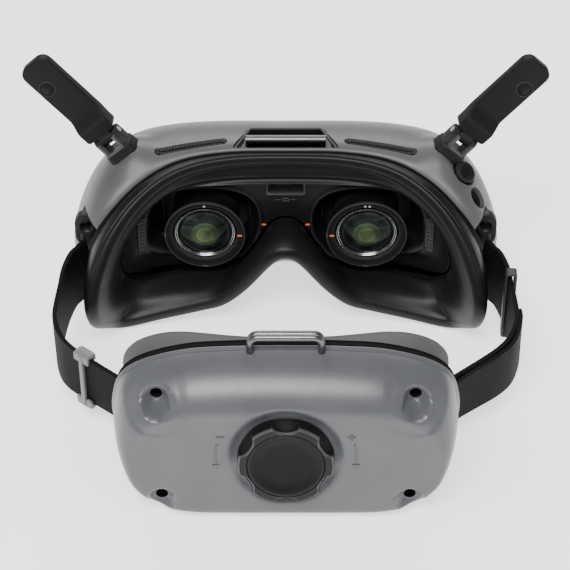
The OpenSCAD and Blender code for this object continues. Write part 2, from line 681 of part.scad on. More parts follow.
module adjust_knob() color(charcoal) at_knob() {
    lobes = 6;
    scallop_r = 9;
    difference() {
        translate([0, 0, -1.2]) cylinder(r = knob_r, h = knob_h + 1.2, $fn = 96);
        for (i = [0 : lobes - 1]) rotate(30 + i * 60) translate([knob_r + scallop_r - 2.3, 0, -2])
            cylinder(r = scallop_r, h = 12);
        translate([0, 0, knob_h - 1.4]) cylinder(r = cap_r + 0.1, h = 3);
    }
    translate([0, 0, -19.6]) cylinder(r = 4, h = 19);
}
module knob_cap() color(charcoal) at_knob() difference() {
    translate([0, 0, knob_h - 1.4]) cylinder(r = cap_r, h = 1.6);
    translate([0, 0, knob_h - 0.4]) cylinder(r1 = cap_r - 3.5, r2 = cap_r - 1, h = 0.61);
}

// Pinion and the two racks that draw the straps in
tooth_n = 16;
pitch_r = 8;
tooth_h = 0.85;
tooth_w = 1.2;            // at the pitch line
gear_z = -19.4;
gear_h = 4;
function turn(p, a) = [p.x * cos(a) - p.y * sin(a), p.x * sin(a) + p.y * cos(a)];
module pinion() color(satin) at_knob() translate([0, 0, gear_z]) difference() {
    linear_extrude(gear_h) polygon([for (i = [0 : tooth_n - 1]) each [
        turn([pitch_r - tooth_h - 0.25, -0.95], i * 360 / tooth_n),
        turn([pitch_r + tooth_h, -0.32], i * 360 / tooth_n),
        turn([pitch_r + tooth_h, 0.32], i * 360 / tooth_n),
        turn([pitch_r - tooth_h - 0.25, 0.95], i * 360 / tooth_n)]]);
    translate([0, 0, -1]) cylinder(r = 4.02, h = 8);
}
pitch = 2 * PI * pitch_r / tooth_n;
module rack() translate([0, pitch_r, 0]) {
    teeth = 14;
    translate([-(teeth / 2) * pitch, tooth_h + 0.25, 0]) cube([teeth * pitch, 2.6, gear_h]);
    for (i = [-teeth / 2 : teeth / 2 - 1]) translate([(i + 0.5) * pitch, 0, 0])
        linear_extrude(gear_h) polygon([
            [-tooth_w / 2 - 0.3, tooth_h + 0.3], [tooth_w / 2 + 0.3, tooth_h + 0.3],
            [tooth_w / 2 - 0.32, -tooth_h], [-tooth_w / 2 + 0.32, -tooth_h]]);
}
module rack_left() color(black) at_knob() translate([0, 0, gear_z]) rack();
module rack_right() color(black) at_knob() translate([0, 0, gear_z]) rotate(180) rack();

// Bail for the top strap: two rods side by side, joined along their length
loop_y = -69.9;
loop_w = 25.4;
loop_top = 68.8;
loop_r = 1.4;
loop_apart = 0.9;         // of each rod from the middle
loop_bend = 3;
loop_foot = 58.5;
module loop_feet(r) {
    for (s = [-1, 1], rod = [-1, 1])
        translate([s * loop_w / 2, loop_y + rod * loop_apart, loop_foot])
            cylinder(r = r, h = loop_top - loop_bend - loop_foot);
}
module rear_loop() color(satin) {
    loop_feet(loop_r);
    for (rod = [-1, 1]) translate([0, loop_y + rod * loop_apart, 0]) {
        for (s = [-1, 1]) translate([s * (loop_w / 2 - loop_bend), 0, loop_top - loop_bend])
            rotate([90, 0, 0]) rotate([0, 0, s > 0 ? 0 : 90])
                rotate_extrude(angle = 90) translate([loop_bend, 0]) circle(loop_r);
        translate([0, 0, loop_top]) along_x(loop_w - 2 * loop_bend, loop_r);
    }
}

front_shell();
foam_carrier();
face_foam();
inner_panel();
side_grilles();
top_vents();
strap_bracket();
strap_bar();
card_socket();
chassis();
guide_rails();
main_board();
heat_sink();
fan_frame();
fan_rotor();
carriage_left();
carriage_right();
display_left();
display_right();
focus_tube_left();
focus_tube_right();
lens_left();
lens_right();
lens_ring_left();
lens_ring_right();
focus_knob_left();
focus_knob_right();
antenna_base_left();
antenna_base_right();
antenna_pins();
antenna_left();
antenna_right();
joystick_base();
joystick_gimbal();
joystick_stem();
joystick_cap();
back_button();
strap_anchor_left();
strap_anchor_right();
front_strap_left();
front_strap_right();
rear_strap_left();
rear_strap_right();
strap_keeper();
strap_buckle();
rear_case();
pad_plate();
head_pad();
battery_cells();
charge_board();
power_button();
adjust_knob();
knob_cap();
knob_bush();
pinion();
rack_left();
rack_right();
rear_loop();
case_screws();
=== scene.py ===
"""Looks of the FPV goggles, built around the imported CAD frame. Working units are millimetres."""

import json
import math

import bmesh
import bpy
import numpy as np
from mathutils import Matrix, Vector


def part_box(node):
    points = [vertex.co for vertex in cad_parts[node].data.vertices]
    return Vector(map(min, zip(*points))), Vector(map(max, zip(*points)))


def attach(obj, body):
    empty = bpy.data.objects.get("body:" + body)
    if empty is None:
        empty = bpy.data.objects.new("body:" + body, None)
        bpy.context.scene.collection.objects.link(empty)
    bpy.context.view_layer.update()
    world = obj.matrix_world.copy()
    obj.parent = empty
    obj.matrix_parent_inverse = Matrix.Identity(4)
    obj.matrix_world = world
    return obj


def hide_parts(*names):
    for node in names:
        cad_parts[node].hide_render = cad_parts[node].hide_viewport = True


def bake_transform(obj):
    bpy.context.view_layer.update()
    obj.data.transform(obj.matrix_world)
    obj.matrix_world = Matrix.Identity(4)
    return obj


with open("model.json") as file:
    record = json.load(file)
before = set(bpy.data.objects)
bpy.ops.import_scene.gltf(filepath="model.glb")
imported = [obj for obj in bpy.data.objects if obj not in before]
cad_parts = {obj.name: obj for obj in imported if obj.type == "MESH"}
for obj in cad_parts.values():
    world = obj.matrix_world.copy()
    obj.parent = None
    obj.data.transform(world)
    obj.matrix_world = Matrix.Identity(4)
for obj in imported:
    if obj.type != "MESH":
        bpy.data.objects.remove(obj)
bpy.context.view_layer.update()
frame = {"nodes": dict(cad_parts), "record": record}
MM = 0.001
REARWARD, UPWARD = (0, -1, 0), (0, 0, 1)
SLOTS = {s["node"]: s["material_slot"] for s in frame["record"]["subparts"]}


def low(node):
    """Lower corner of a CAD node's box, in millimetres."""
    return np.array(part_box(node)[0]) / MM


def high(node):
    """Upper corner of a CAD node's box."""
    return np.array(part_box(node)[1]) / MM


def centre(node):
    return (low(node) + high(node)) / 2


def width(node):
    return (high(node) - low(node))[0]


def unit(v):
    v = np.array(v, float)
    return v / np.linalg.norm(v)


def columns(*values):
    """Points from their coordinates; a single number is repeated."""
    return np.stack(np.broadcast_arrays(*values), axis=1)


def level(flat, z):
    """Flat outline put at a height."""
    return columns(flat[:, 0], flat[:, 1], z)


def smoothstep(a, b, t):
    t = np.clip((t - a) / (b - a), 0, 1)
    return t * t * (3 - 2 * t)


# ---------------------------------------------------------------- materials
class Look:
    """A node material built step by step round one Principled shader."""

    def __init__(self, name, colour, rough, metal=0.0):
        self.mat = bpy.data.materials.new(name)
        self.mat.use_nodes = True
        self.tree = self.mat.node_tree
        self.shader = self.tree.nodes["Principled BSDF"]
        self.shader.inputs["Base Color"].default_value = (*colour, 1)
        self.shader.inputs["Roughness"].default_value = rough
        self.shader.inputs["Metallic"].default_value = metal
        self.colour, self.rough = colour, rough
        self.coords = self.node("ShaderNodeTexCoord").outputs["Object"]
        self.normal = None

    def node(self, kind, **values):
        n = self.tree.nodes.new(kind)
        for key, value in values.items():
            if key in n.inputs:
                n.inputs[key].default_value = value
            else:
                setattr(n, key, value)
        return n

    def link(self, a, b):
        self.tree.links.new(a, b)

    def put(self, **values):
        for key, value in values.items():
            self.shader.inputs[key.replace("_", " ")].default_value = value
        return self

    def noise(self, scale, detail=3.0, stretch=None):
        n = self.node("ShaderNodeTexNoise", Scale=scale, Detail=detail)
        source = self.coords
        if stretch:
            m = self.node("ShaderNodeMapping")
            m.inputs["Scale"].default_value = stretch
            self.link(source, m.inputs["Vector"])
            source = m.outputs["Vector"]
        self.link(source, n.inputs["Vector"])
        return n.outputs["Fac"]

    def shades(self, factor, low_tone, high_tone, span=(0.3, 0.7)):
        """Colour between two tones of the base, by a factor."""
        ramp = self.node("ShaderNodeValToRGB")
        ramp.color_ramp.elements[0].position, ramp.color_ramp.elements[1].position = span
        for e, tone in zip(ramp.color_ramp.elements, (low_tone, high_tone)):
            e.color = (*[min(1, c * tone) for c in self.colour], 1)
        self.link(factor, ramp.inputs["Fac"])
        return ramp.outputs["Color"]

    def paint(self, colour):
        self.link(colour, self.shader.inputs["Base Color"])
        return self

    def worn_and_lit_edges(self, colour, tone, start=0.52, end=0.6):
        """Lightens convex edges: partly rub wear, partly a painted highlight along them."""
        ramp = self.node("ShaderNodeValToRGB")
        ramp.color_ramp.elements[0].position = start
        ramp.color_ramp.elements[1].position = end
        self.link(self.node("ShaderNodeNewGeometry").outputs["Pointiness"], ramp.inputs["Fac"])
        mix = self.node("ShaderNodeMix", data_type="RGBA")
        self.link(ramp.outputs["Color"], mix.inputs["Factor"])
        self.link(colour, mix.inputs["A"])
        mix.inputs["B"].default_value = (*[min(1, c * tone) for c in self.colour], 1)
        return mix.outputs["Result"]

    def roughness(self, factor, swing):
        n = self.node("ShaderNodeMapRange")
        n.inputs["To Min"].default_value = self.rough - swing
        n.inputs["To Max"].default_value = self.rough + swing
        self.link(factor, n.inputs["Value"])
        self.link(n.outputs["Result"], self.shader.inputs["Roughness"])
        return self

    def bump(self, height, distance, strength=1.0):
        n = self.node("ShaderNodeBump", Strength=strength, Distance=distance)
        self.link(height, n.inputs["Height"])
        if self.normal is not None:
            self.link(self.normal, n.inputs["Normal"])
        self.normal = n.outputs["Normal"]
        self.link(self.normal, self.shader.inputs["Normal"])
        return self


def moulded(name, colour, rough, grain=0.00004, edge=1.25, **extra):
    """Injection-moulded plastic: spark-eroded grain, faint mottling, and convex edges lightened, partly as
    rub wear and partly as painted highlight.
    """
    look = Look(name, colour, rough)
    tone = look.shades(look.noise(55, 4), 0.93, 1.07)
    # convex edges lightened: rub wear and a painted highlight
    look.paint(look.worn_and_lit_edges(tone, edge))
    look.roughness(look.noise(260, 3), 0.07)
    look.bump(look.noise(1900, 2), grain)
    return look.put(**extra).mat


def skin(name, colour, rough):
    """Soft satin skin over foam: pebbled grain and shallow creases."""
    look = Look(name, colour, rough)
    cells = look.node("ShaderNodeTexVoronoi", Scale=1300.0)
    look.link(look.coords, cells.inputs["Vector"])
    look.paint(look.shades(look.noise(40, 3), 0.94, 1.07))
    look.roughness(look.noise(120, 3), 0.04)
    look.bump(cells.outputs["Distance"], 0.00003)
    look.bump(look.noise(60, 2), 0.00004)
    return look.put(Specular_IOR_Level=0.22).mat


def webbing(name, colour):
    """Woven strap: ribs across, warp threads along, fuzz, and the thread tops painted lighter and the gaps
    darker, as painted sheen and painted shade.
    """
    look = Look(name, colour, 0.72)
    threads = look.node("ShaderNodeAttribute", attribute_name="weave").outputs["Vector"]
    waves = []
    for axis, scale in (("X", 0.36), ("Y", 0.3)):
        wave = look.node("ShaderNodeTexWave", bands_direction=axis, Scale=scale, Distortion=0.4)
        look.link(threads, wave.inputs["Vector"])
        waves.append(wave.outputs["Fac"])
    weave = look.node("ShaderNodeMath", operation="MULTIPLY")
    look.link(waves[0], weave.inputs[0])
    look.link(waves[1], weave.inputs[1])
    # painted sheen on the thread tops and painted shade between them, from the weave's height
    look.paint(look.shades(weave.outputs[0], 0.6, 1.7, (0.0, 0.9)))
    look.bump(weave.outputs[0], 0.00022)
    look.bump(look.noise(2600, 3), 0.00005)
    return look.put(Specular_IOR_Level=0.12).mat


def metal(name, colour, rough, stretch=(1, 1, 1), grain=0.00002):
    """Satin metal with fine drawn lines."""
    look = Look(name, colour, rough, 1.0)
    lines = look.noise(900, 3, stretch)
    look.paint(look.shades(lines, 0.85, 1.1))
    look.roughness(look.noise(300, 4), 0.08)
    look.bump(lines, grain)
    return look.mat


def glass_painted_reflections(name, optic):
    """Dark coated lens with painted reflections: rings of the elements behind it, in green and yellow,
    painted into its colour.
    """
    look = Look(name, (0.012, 0.016, 0.014), 0.06)
    at = look.node("ShaderNodeVectorMath", operation="SUBTRACT")
    at.inputs[1].default_value = Vector(optic * MM)
    look.link(look.coords, at.inputs[0])
    flat = look.node("ShaderNodeVectorMath", operation="MULTIPLY")
    flat.inputs[1].default_value = (1, 0, 1)
    look.link(at.outputs[0], flat.inputs[0])
    reach = look.node("ShaderNodeVectorMath", operation="LENGTH")
    look.link(flat.outputs[0], reach.inputs[0])
    share = look.node("ShaderNodeMapRange")
    share.inputs["From Max"].default_value = 0.0107
    look.link(reach.outputs["Value"], share.inputs["Value"])
    ramp = look.node("ShaderNodeValToRGB")
    # painted reflection rings, from the lens centre out to its edge
    stops = [
        (0.0, (0.060, 0.078, 0.034)), (0.26, (0.054, 0.074, 0.032)), (0.285, (0.10, 0.13, 0.06)),
        (0.31, (0.045, 0.066, 0.030)), (0.46, (0.030, 0.045, 0.024)), (0.5, (0.050, 0.070, 0.038)),
        (0.53, (0.016, 0.020, 0.017)), (0.8, (0.010, 0.012, 0.012)), (0.9, (0.024, 0.028, 0.024)),
        (0.93, (0.008, 0.009, 0.009)),
    ]
    while len(ramp.color_ramp.elements) < len(stops):
        ramp.color_ramp.elements.new(0.5)
    for e, (position, tint) in zip(ramp.color_ramp.elements, stops):
        e.position, e.color = position, (*tint, 1)
    look.link(share.outputs["Result"], ramp.inputs["Fac"])
    # painted blotches of the elements' reflections, brighter towards the middle
    blot = look.node("ShaderNodeMapRange")
    blot.inputs["From Min"].default_value, blot.inputs["From Max"].default_value = 0.35, 0.65
    blot.inputs["To Min"].default_value, blot.inputs["To Max"].default_value = 0.45, 1.5
    look.link(look.noise(130, 1), blot.inputs["Value"])
    mix = look.node("ShaderNodeVectorMath", operation="SCALE")
    look.link(ramp.outputs["Color"], mix.inputs[0])
    look.link(blot.outputs["Result"], mix.inputs["Scale"])
    look.paint(mix.outputs[0])
    return look.put(
        Coat_Weight=0.05, Coat_Roughness=0.08, Coat_IOR=1.3, Specular_IOR_Level=0.09,
        Specular_Tint=(0.7, 1.0, 0.65, 1),
    ).mat


# the last number of each moulded look is how much its convex edges are lightened, for rub wear and a painted
# highlight; the strong ones on the black plastics paint the light lines on their rims
GREY = moulded("shell_grey", (0.086, 0.086, 0.0873), 0.44, 0.00003, 1.22)
PACK = moulded("pack_grey", (0.090, 0.093, 0.099), 0.33, 0.00003, 1.22)
CHARCOAL = moulded("charcoal", (0.0072, 0.0072, 0.0077), 0.54, 0.00003, 7.0, Specular_IOR_Level=0.12)
DARK = moulded("black_plastic", (0.0060, 0.0060, 0.0064), 0.48, 0.00003, 6.0, Specular_IOR_Level=0.28)
SLEEVE = moulded("sleeve_black", (0.0050, 0.0050, 0.0053), 0.6, 0.00003, 14.0, Specular_IOR_Level=0.12)
MATT = moulded("matt_black", (0.0025, 0.0025, 0.0027), 0.8, 0.00005, 1.5, Specular_IOR_Level=0.15)
NOTCH = moulded("notch_black", (0.042, 0.042, 0.0425), 0.5, 0.00003, 1.6, Specular_IOR_Level=0.35)
FOAM = skin("foam_skin", (0.0075, 0.0075, 0.0078), 0.42)
PAD = skin("pad_skin", (0.085, 0.085, 0.0855), 0.6)
WEAVE = webbing("strap_weave", (0.0065, 0.0065, 0.0068))
EDGE_GREY = moulded("light_charcoal", (0.050, 0.050, 0.052), 0.4, 0.00003, 1.6)
BUCKLE = moulded("buckle_grey", (0.13, 0.131, 0.133), 0.34, 0.00002, 1.7)
SATIN = metal("satin_metal", (0.17, 0.17, 0.174), 0.36, (1, 1, 1), 0.000004)
BAR = metal("dark_satin", (0.16, 0.16, 0.163), 0.42, (0.05, 1, 1), 0.000002)
STEEL = metal("steel", (0.5, 0.5, 0.51), 0.3, (0.2, 1, 0.2))
BLACKED = metal("blackened_steel", (0.012, 0.012, 0.013), 0.5, (0.2, 1, 0.2))
RING = metal("ring_metal", (0.30, 0.30, 0.305), 0.22, (1, 1, 1), 0.000005)
BOARD = moulded("board_green", (0.02, 0.09, 0.045), 0.4, 0.00004, 1.3)
CELLS = moulded("cell_wrap", (0.05, 0.1, 0.22), 0.3, 0.00001, 1.2)
SCREEN = moulded("display_glass", (0.012, 0.014, 0.02), 0.12, 0.000002, 1.2)
ORANGE = moulded("orange_mark", (0.75, 0.17, 0.035), 0.5, 0.00002, 1.3)
MARK = moulded("pale_mark", (0.34, 0.34, 0.34), 0.55, 0.00002, 1.2)

RIBS = moulded("vent_ribs", (0.016, 0.016, 0.0165), 0.5, 0.00003, 3.0, Specular_IOR_Level=0.25)

CAD_LOOKS = {
    "charcoal_plastic": CHARCOAL, "black_plastic": DARK, "shell_grey": GREY, "pack_grey": PACK,
    "foam_skin": FOAM, "strap_weave": WEAVE, "satin_metal": SATIN, "steel": STEEL,
    "buckle_grey": BUCKLE, "ring_metal": RING, "board_green": BOARD, "cell_wrap": CELLS,
    "display_glass": SCREEN, "lens_glass": SCREEN,
}


# ---------------------------------------------------------------- meshes
def build(name, verts, faces):
    """A mesh object from points in millimetres."""
    mesh = bpy.data.meshes.new(name)
    mesh.from_pydata([tuple(v) for v in np.asarray(verts, float) * MM], [],
                     [tuple(map(int, f)) for f in faces])
    mesh.update()
    obj = bpy.data.objects.new(name, mesh)
    bpy.context.scene.collection.objects.link(obj)
    return obj


def outwards(obj):
    """Turns all faces outwards."""
    bm = bmesh.new()
    bm.from_mesh(obj.data)
    bmesh.ops.recalc_face_normals(bm, faces=bm.faces)
    bm.to_mesh(obj.data)
    bm.free()
    return obj


def settle(obj):
    """Applies the modifiers."""
    graph = bpy.context.evaluated_depsgraph_get()
    mesh = bpy.data.meshes.new_from_object(obj.evaluated_get(graph))
    obj.modifiers.clear()
    obj.data = mesh
    return obj


def carve(obj, *tools, mode="DIFFERENCE"):
    """Boolean with each tool in turn; the tools are deleted."""
    for tool in tools:
        m = obj.modifiers.new("carve", "BOOLEAN")
        m.operation, m.solver, m.object = mode, "EXACT", tool
    settle(obj)
    for tool in tools:
        bpy.data.objects.remove(tool)
    return obj


def joined(name, *parts):
    """One object from several meshes that lie apart or touch."""
    bm = bmesh.new()
    for part in parts:
        bm.from_mesh(part.data)
        bpy.data.objects.remove(part)
    mesh = bpy.data.meshes.new(name)
    bm.to_mesh(mesh)
    bm.free()
    obj = bpy.data.objects.new(name, mesh)
    bpy.context.scene.collection.objects.link(obj)
    return obj


def dress(obj, look, sharp):
    """One material, smooth shading, and sharp edges from an angle up."""
    obj.data.materials.clear()
    obj.data.materials.append(look)
    obj.data.shade_smooth()
    obj.data.set_sharp_from_angle(angle=math.radians(sharp))


def done(obj, body, look, *nodes, slot=None, sharp=38):
    """Finish of a piece: its material, shading, body, and the CAD nodes it stands for."""
    dress(obj, look, sharp)
    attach(obj, body)
    if nodes:
        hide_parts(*nodes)
    return obj


def second_look(obj, look, wanted):
    """Gives another material to the faces for which wanted(centre in mm, normal) holds."""
    obj.data.materials.append(look)
    for face in obj.data.polygons:
        if wanted(np.array(face.center) / MM, np.array(face.normal)):
            face.material_index = 1


def rows(count, size, closed=True, ring=True):
    """Quads between `count` rings of `size` points."""
    faces = []
    for j in range(count if ring else count - 1):
        k = (j + 1) % count
        for i in range(size if closed else size - 1):
            n = (i + 1) % size
            faces.append((j * size + i, j * size + n, k * size + n, k * size + i))
    return faces


def loft(name, rings, ring=False, first=None, last=None):
    """Skin over rings; with ring=True the last joins the first, otherwise both ends are closed."""
    size, count = len(rings[0]), len(rings)
    verts = [p for r in rings for p in r]
    faces = rows(count, size, ring=ring)
    if not ring:
        if first is None:
            faces.append(tuple(range(size))[::-1])
        else:
            verts.append(first)
            faces += [(len(verts) - 1, (i + 1) % size, i) for i in range(size)]
        top = (count - 1) * size
        if last is None:
            faces.append(tuple(range(top, top + size)))
        else:
            verts.append(last)
            faces += [(len(verts) - 1, top + i, top + (i + 1) % size) for i in range(size)]
    return outwards(build(name, verts, faces))


def basis(at, z, x=(1, 0, 0)):
    """Matrix with local +Z along z and +X near x, as (rotation, place)."""
    z = unit(z)
    x = np.array(x, float)
    x = unit(x - z * (x @ z))
    return columns(x, np.cross(z, x), z), np.array(at, float)


def placed(points, frame_at):
    r, t = frame_at
    return np.asarray(points, float) @ r.T + t


def lathe(name, profile, frame_at, n=96):
    """Turned solid: profile of (radius, height) along local Z; radius 0 closes an end."""
    a = np.linspace(0, 2 * math.pi, n, endpoint=False)
    c, s = np.cos(a), np.sin(a)
    rings = [columns(r * c, r * s, z) for r, z in profile if r > 1e-6]
    ends = [profile[0] if profile[0][0] < 1e-6 else None, profile[-1] if profile[-1][0] < 1e-6 else None]
    rings = [placed(r, frame_at) for r in rings]
    if ends[0] is None and ends[1] is None:
        return loft(name, rings, ring=True)
    tips = [placed([[0, 0, e[1]]], frame_at)[0] if e else None for e in ends]
    return loft(name, rings, first=tips[0], last=tips[1])


def arc(cx, cy, r, a0, a1, n=5):
    """Points of a fillet, angles in degrees."""
    return [(cx + r * math.cos(math.radians(a)), cy + r * math.sin(math.radians(a)))
            for a in np.linspace(a0, a1, n)]


def oval(hx, hy, r, n=8):
    """Rounded rectangle with half sizes hx, hy and corner radius r, counter-clockwise."""
    pts = []
    for sx, sy, a in ((1, 1, 0), (-1, 1, 90), (-1, -1, 180), (1, -1, 270)):
        pts += arc(sx * (hx - r), sy * (hy - r), r, a, a + 90, n)
    return np.array(pts)


def inset2(pts, d):
    """Flat closed outline moved inwards by d."""
    t = np.roll(pts, -1, 0) - np.roll(pts, 1, 0)
    t /= np.maximum(np.linalg.norm(t, axis=1), 1e-9)[:, None]
    return pts - columns(t[:, 1], -t[:, 0]) * d


def slab(name, outline, z0, z1, r, frame_at=None, steps=4):
    """Flat outline given thickness, with rounded upper and lower edges."""
    frame_at = frame_at or basis((0, 0, 0), UPWARD)
    rings = []
    for k in range(steps + 1):
        a = math.pi / 2 * k / steps
        rings.append((r * (1 - math.sin(a)), z0 + r * (1 - math.cos(a))))
    rings += [(d, z1 - (z - z0)) for d, z in reversed(rings)]
    return loft(name, [placed(level(inset2(outline, d), z), frame_at) for d, z in rings])


def block(name, size, frame_at, r=0.4, corner=None):
    """Box with all edges rounded; size is its full length each way, centred."""
    sx, sy, sz = size
    return slab(name, oval(sx / 2, sy / 2, corner or min(sx, sy) * 0.25), -sz / 2, sz / 2, r, frame_at)


def spline(points, n, closed=False):
    """Catmull-Rom curve through points, n steps a span."""
    p = np.asarray(points, float)
    m = len(p)
    out = []
    for i in range(m if closed else m - 1):
        if closed:
            a, b, c, d = p[(i - 1) % m], p[i], p[(i + 1) % m], p[(i + 2) % m]
        else:
            b, c = p[i], p[i + 1]
            a = p[i - 1] if i else 2 * b - c
            d = p[i + 2] if i + 2 < m else 2 * c - b
        for t in np.arange(n) / n:
            out.append(0.5 * (2 * b + (c - a) * t + (2 * a - 5 * b + 4 * c - d) * t**2
                              + (3 * b - a - 3 * c + d) * t**3))
    if not closed:
        out.append(p[-1])
    return np.array(out)


def sweep(name, path, section, across, closed=False):
    """Section (u, v) carried along a path; u lies along `across`, v along path x across."""
    path = np.asarray(path, float)
    if closed:
        tangent = np.roll(path, -1, 0) - np.roll(path, 1, 0)
    else:
        tangent = np.gradient(path, axis=0)
    rings = []
    for p, t in zip(path, tangent):
        t = unit(t)
        u = unit(np.array(across, float) - t * (np.array(across, float) @ t))
        v = np.cross(t, u)
        rings.append([p + a * u + b * v for a, b in section])
    return loft(name, rings, ring=closed)


def circle2(r, n=16):
    """Flat circle, counter-clockwise."""
    a = np.linspace(0, 2 * math.pi, n, endpoint=False)
    return columns(r * np.cos(a), r * np.sin(a))


def smooth_rings(controls, steps=4):
    """Rings on curves through the points of the control rings."""
    stack = np.array(controls)
    return list(spline(stack.reshape(len(stack), -1), steps).reshape(-1, *stack.shape[1:]))


def above_floor(rings):
    """Rings with nothing below the ground."""
    return [columns(r[:, 0], r[:, 1], np.maximum(r[:, 2], 0)) for r in rings]


def prism(name, outline, frame_at, z0, z1):
    """Straight cutter over a flat outline."""
    return loft(name, [placed(level(outline, z), frame_at) for z in (z0, z1)])


# ---------------------------------------------------------------- outlines shared with the frame
# Right half of each outline, from the top centre round to the bottom centre
EDGE = [(0, 41, 69), (24, 40.5, 68.8), (43, 37, 67), (58, 30, 61.5), (70, 22, 52), (77, 20, 41),
        (78.5, 29, 30), (78.5, 31, 16), (74, 31, 5.5), (64, 31, 2), (50, 32, 1.8), (35, 33, 4.5),
        (24, 33, 9), (15, 33, 15), (6, 33, 23), (0, 33, 26)]
WIDE = [(0, 46, 70.5), (27, 46, 70.5), (48, 45, 69.2), (64, 43, 65.4), (75, 41, 57), (82, 38.5, 45),
        (85.5, 37, 31), (84, 38, 15), (77, 40, 4), (65, 43, -0.5), (50, 46, -0.8), (35, 48, 0),
        (23, 49, 3), (14, 50, 7), (6, 51, 10), (0, 51, 11)]
SEAT = [(0, 40, 68.6), (24, 39.5, 68.4), (43, 36, 66.6), (58, 29, 61), (69.5, 20.5, 51.5),
        (76.5, 14.5, 40), (79, 12, 27), (78, 14, 15), (72.5, 18, 6.5), (63.5, 22, 3.4), (50, 25, 3.6),
        (35, 27, 6.5), (24, 28, 11.5), (15, 28.5, 18), (6, 29, 26), (0, 29, 29)]
CREST = [(0, 34, 70), (24, 33, 69.5), (43, 28, 67), (58, 19, 60), (69, 9, 48.5), (75.5, 0, 35),
         (77.5, -4, 24), (76, 0, 12.5), (70, 9, 4.2), (63, 12.5, 2.1), (50, 15, 4), (35, 16, 7.4),
         (25, 16, 10.8), (16, 16, 18.8), (6, 16, 31.5), (0, 16, 34.5)]
PANEL = [(0, 36, 58.5), (24, 36, 58), (42, 35, 56), (53, 32, 51), (60, 30, 43), (64.5, 27, 34),
         (66, 26, 25), (64, 27, 18), (58, 29, 14.5), (50, 32, 14.5), (38, 34, 15.5), (28, 35, 16),
         (19, 35, 18.5), (12.5, 35, 27), (6.5, 36, 37), (0, 36, 40)]
RIM = [(0, 0, 62), (20, 0, 61.6), (36, 0, 60.2), (51, 0, 55.5), (59, 0, 49), (62, 0, 40), (62.5, 0, 31),
       (60.5, 0, 21), (56.5, 0, 12), (48, 0, 4), (36, 0, 0), (18, 0, -0.5), (0, 0, -0.5)]
FACE = [(0, 0, 46), (20, 0, 46), (34, 0, 45.5), (45, 0, 42.5), (51, 0, 38), (54.5, 0, 32),
        (55.5, 0, 27), (54, 0, 20), (51, 0, 14), (44, 0, 8.5), (34, 0, 6), (18, 0, 5.5), (0, 0, 5.5)]
PAD_LINE = [(0, 0, 55.5), (18, 0, 56), (40, 0, 57), (52.5, 0, 53.3), (59, 0, 46.5), (59, 0, 38.5),
            (56.6, 0, 31), (55.5, 0, 21), (51, 0, 11), (42, 0, 5), (30, 0, 3), (15, 0, 3), (0, 0, 3)]
FINE = 9                       # steps between two outline points
# the CAD's width over the width of the outlines
KX = width("front_shell") / 171
PX = width("rear_case") / 125.22


def outline(half, k=1.0):
    half = np.array(half, float) * (k, 1, 1)
    return spline(np.vstack([half, half[-2:0:-1] * (-1, 1, 1)]), FINE, closed=True)


def rear_facing(x, y, z):
    return basis((x, y, z), REARWARD)


def ring_inset(ring, d):
    """Ring moved inwards in the XZ plane."""
    t = np.roll(ring, -1, 0) - np.roll(ring, 1, 0)
    t[:, 1] = 0
    t /= np.linalg.norm(t, axis=1)[:, None]
    return ring - columns(-t[:, 2], 0, t[:, 0]) * d


edge_ring, wide_ring = outline(EDGE, KX), outline(WIDE, KX)
seat_ring, crest_ring, panel_ring = outline(SEAT, KX), outline(CREST, KX), outline(PANEL, KX)
WALL = 2.0
NOSE_Z = 30.0
FRONT = high("front_shell")[1]

# Optical axes from the frame, and the places that the shell is shaped round
eye = {s: centre("lens_" + s) * (1, 0, 1) for s in ("left", "right")}
STICK = np.array([70.2, 38.2, 60.0])
STICK_DIR = unit((0.55, -0.35, 0.76))
BUTTON = np.array([73.6, 32.6, 50.6])
BUTTON_DIR = unit((0.66, -0.35, 0.66))
PADDLE_DIR = unit((0.67, 0.06, 0.74))
HINGE_AXIS = unit((0.74, 0, -0.67))
HINGE_AT = np.array([70.0, 45.0, 73.0])
LUG = np.array([79.2, 27.0, 40.6])
SIDES = (("left", -1), ("right", 1))


def mirror(points, side):
    """Points for the right side, mirrored for the left."""
    return np.asarray(points, float) * (side, 1, 1)


def flipped(obj, side):
    """Mirror image in X for the left side."""
    if side < 0:
        obj.data.transform(Matrix.Scale(-1, 4, (1, 0, 0)))
        obj.data.flip_normals()
    return obj


# ---------------------------------------------------------------- front shell
def flare_ring(t):
    """Outline between the shell's rear edge and its widest line."""
    a, b = edge_ring, wide_ring
    s, c = math.sin(math.pi / 2 * t), math.cos(math.pi / 2 * t)
    return columns(a[:, 0] + (b[:, 0] - a[:, 0]) * s, a[:, 1] + (b[:, 1] - a[:, 1]) * (1 - c),
                   a[:, 2] + (b[:, 2] - a[:, 2]) * s)


def dome_ring(w, front, b):
    """Outline of the dome at an angle from the widest line to the nose."""
    c, s = math.cos(math.radians(b)), math.sin(math.radians(b))
    fall = np.where(w[:, 2] > NOSE_Z, 0.2 * c + 0.8 * c * c, c**0.75)
    return columns(w[:, 0] * c**0.6, w[:, 1] + (front - w[:, 1]) * s, NOSE_Z + (w[:, 2] - NOSE_Z) * fall)


def shoulder(points):
    """Soft shapes on the shell: collars at the antennas and the shallow dish round the controls."""
    p = points.copy()
    for side in (-1, 1):
        foot = mirror(HINGE_AT - PADDLE_DIR * 9.6, side)
        up = mirror(PADDLE_DIR, side)
        rel = p - foot
        along = rel @ up
        away = np.linalg.norm(rel - along[:, None] * up, axis=1)
        lift = smoothstep(13.5, 6.2, away) * np.clip(0.4 - along, 0, 3.6)
        p += lift[:, None] * up * (along > -9)[:, None]
    a, b = STICK, BUTTON
    t = np.clip((p - a) @ (b - a) / ((b - a) @ (b - a)), 0, 1)
    away = np.linalg.norm(p - (a + t[:, None] * (b - a)), axis=1)
    p -= (smoothstep(9.6, 6.4, away) * 0.55)[:, None] * STICK_DIR
    return p


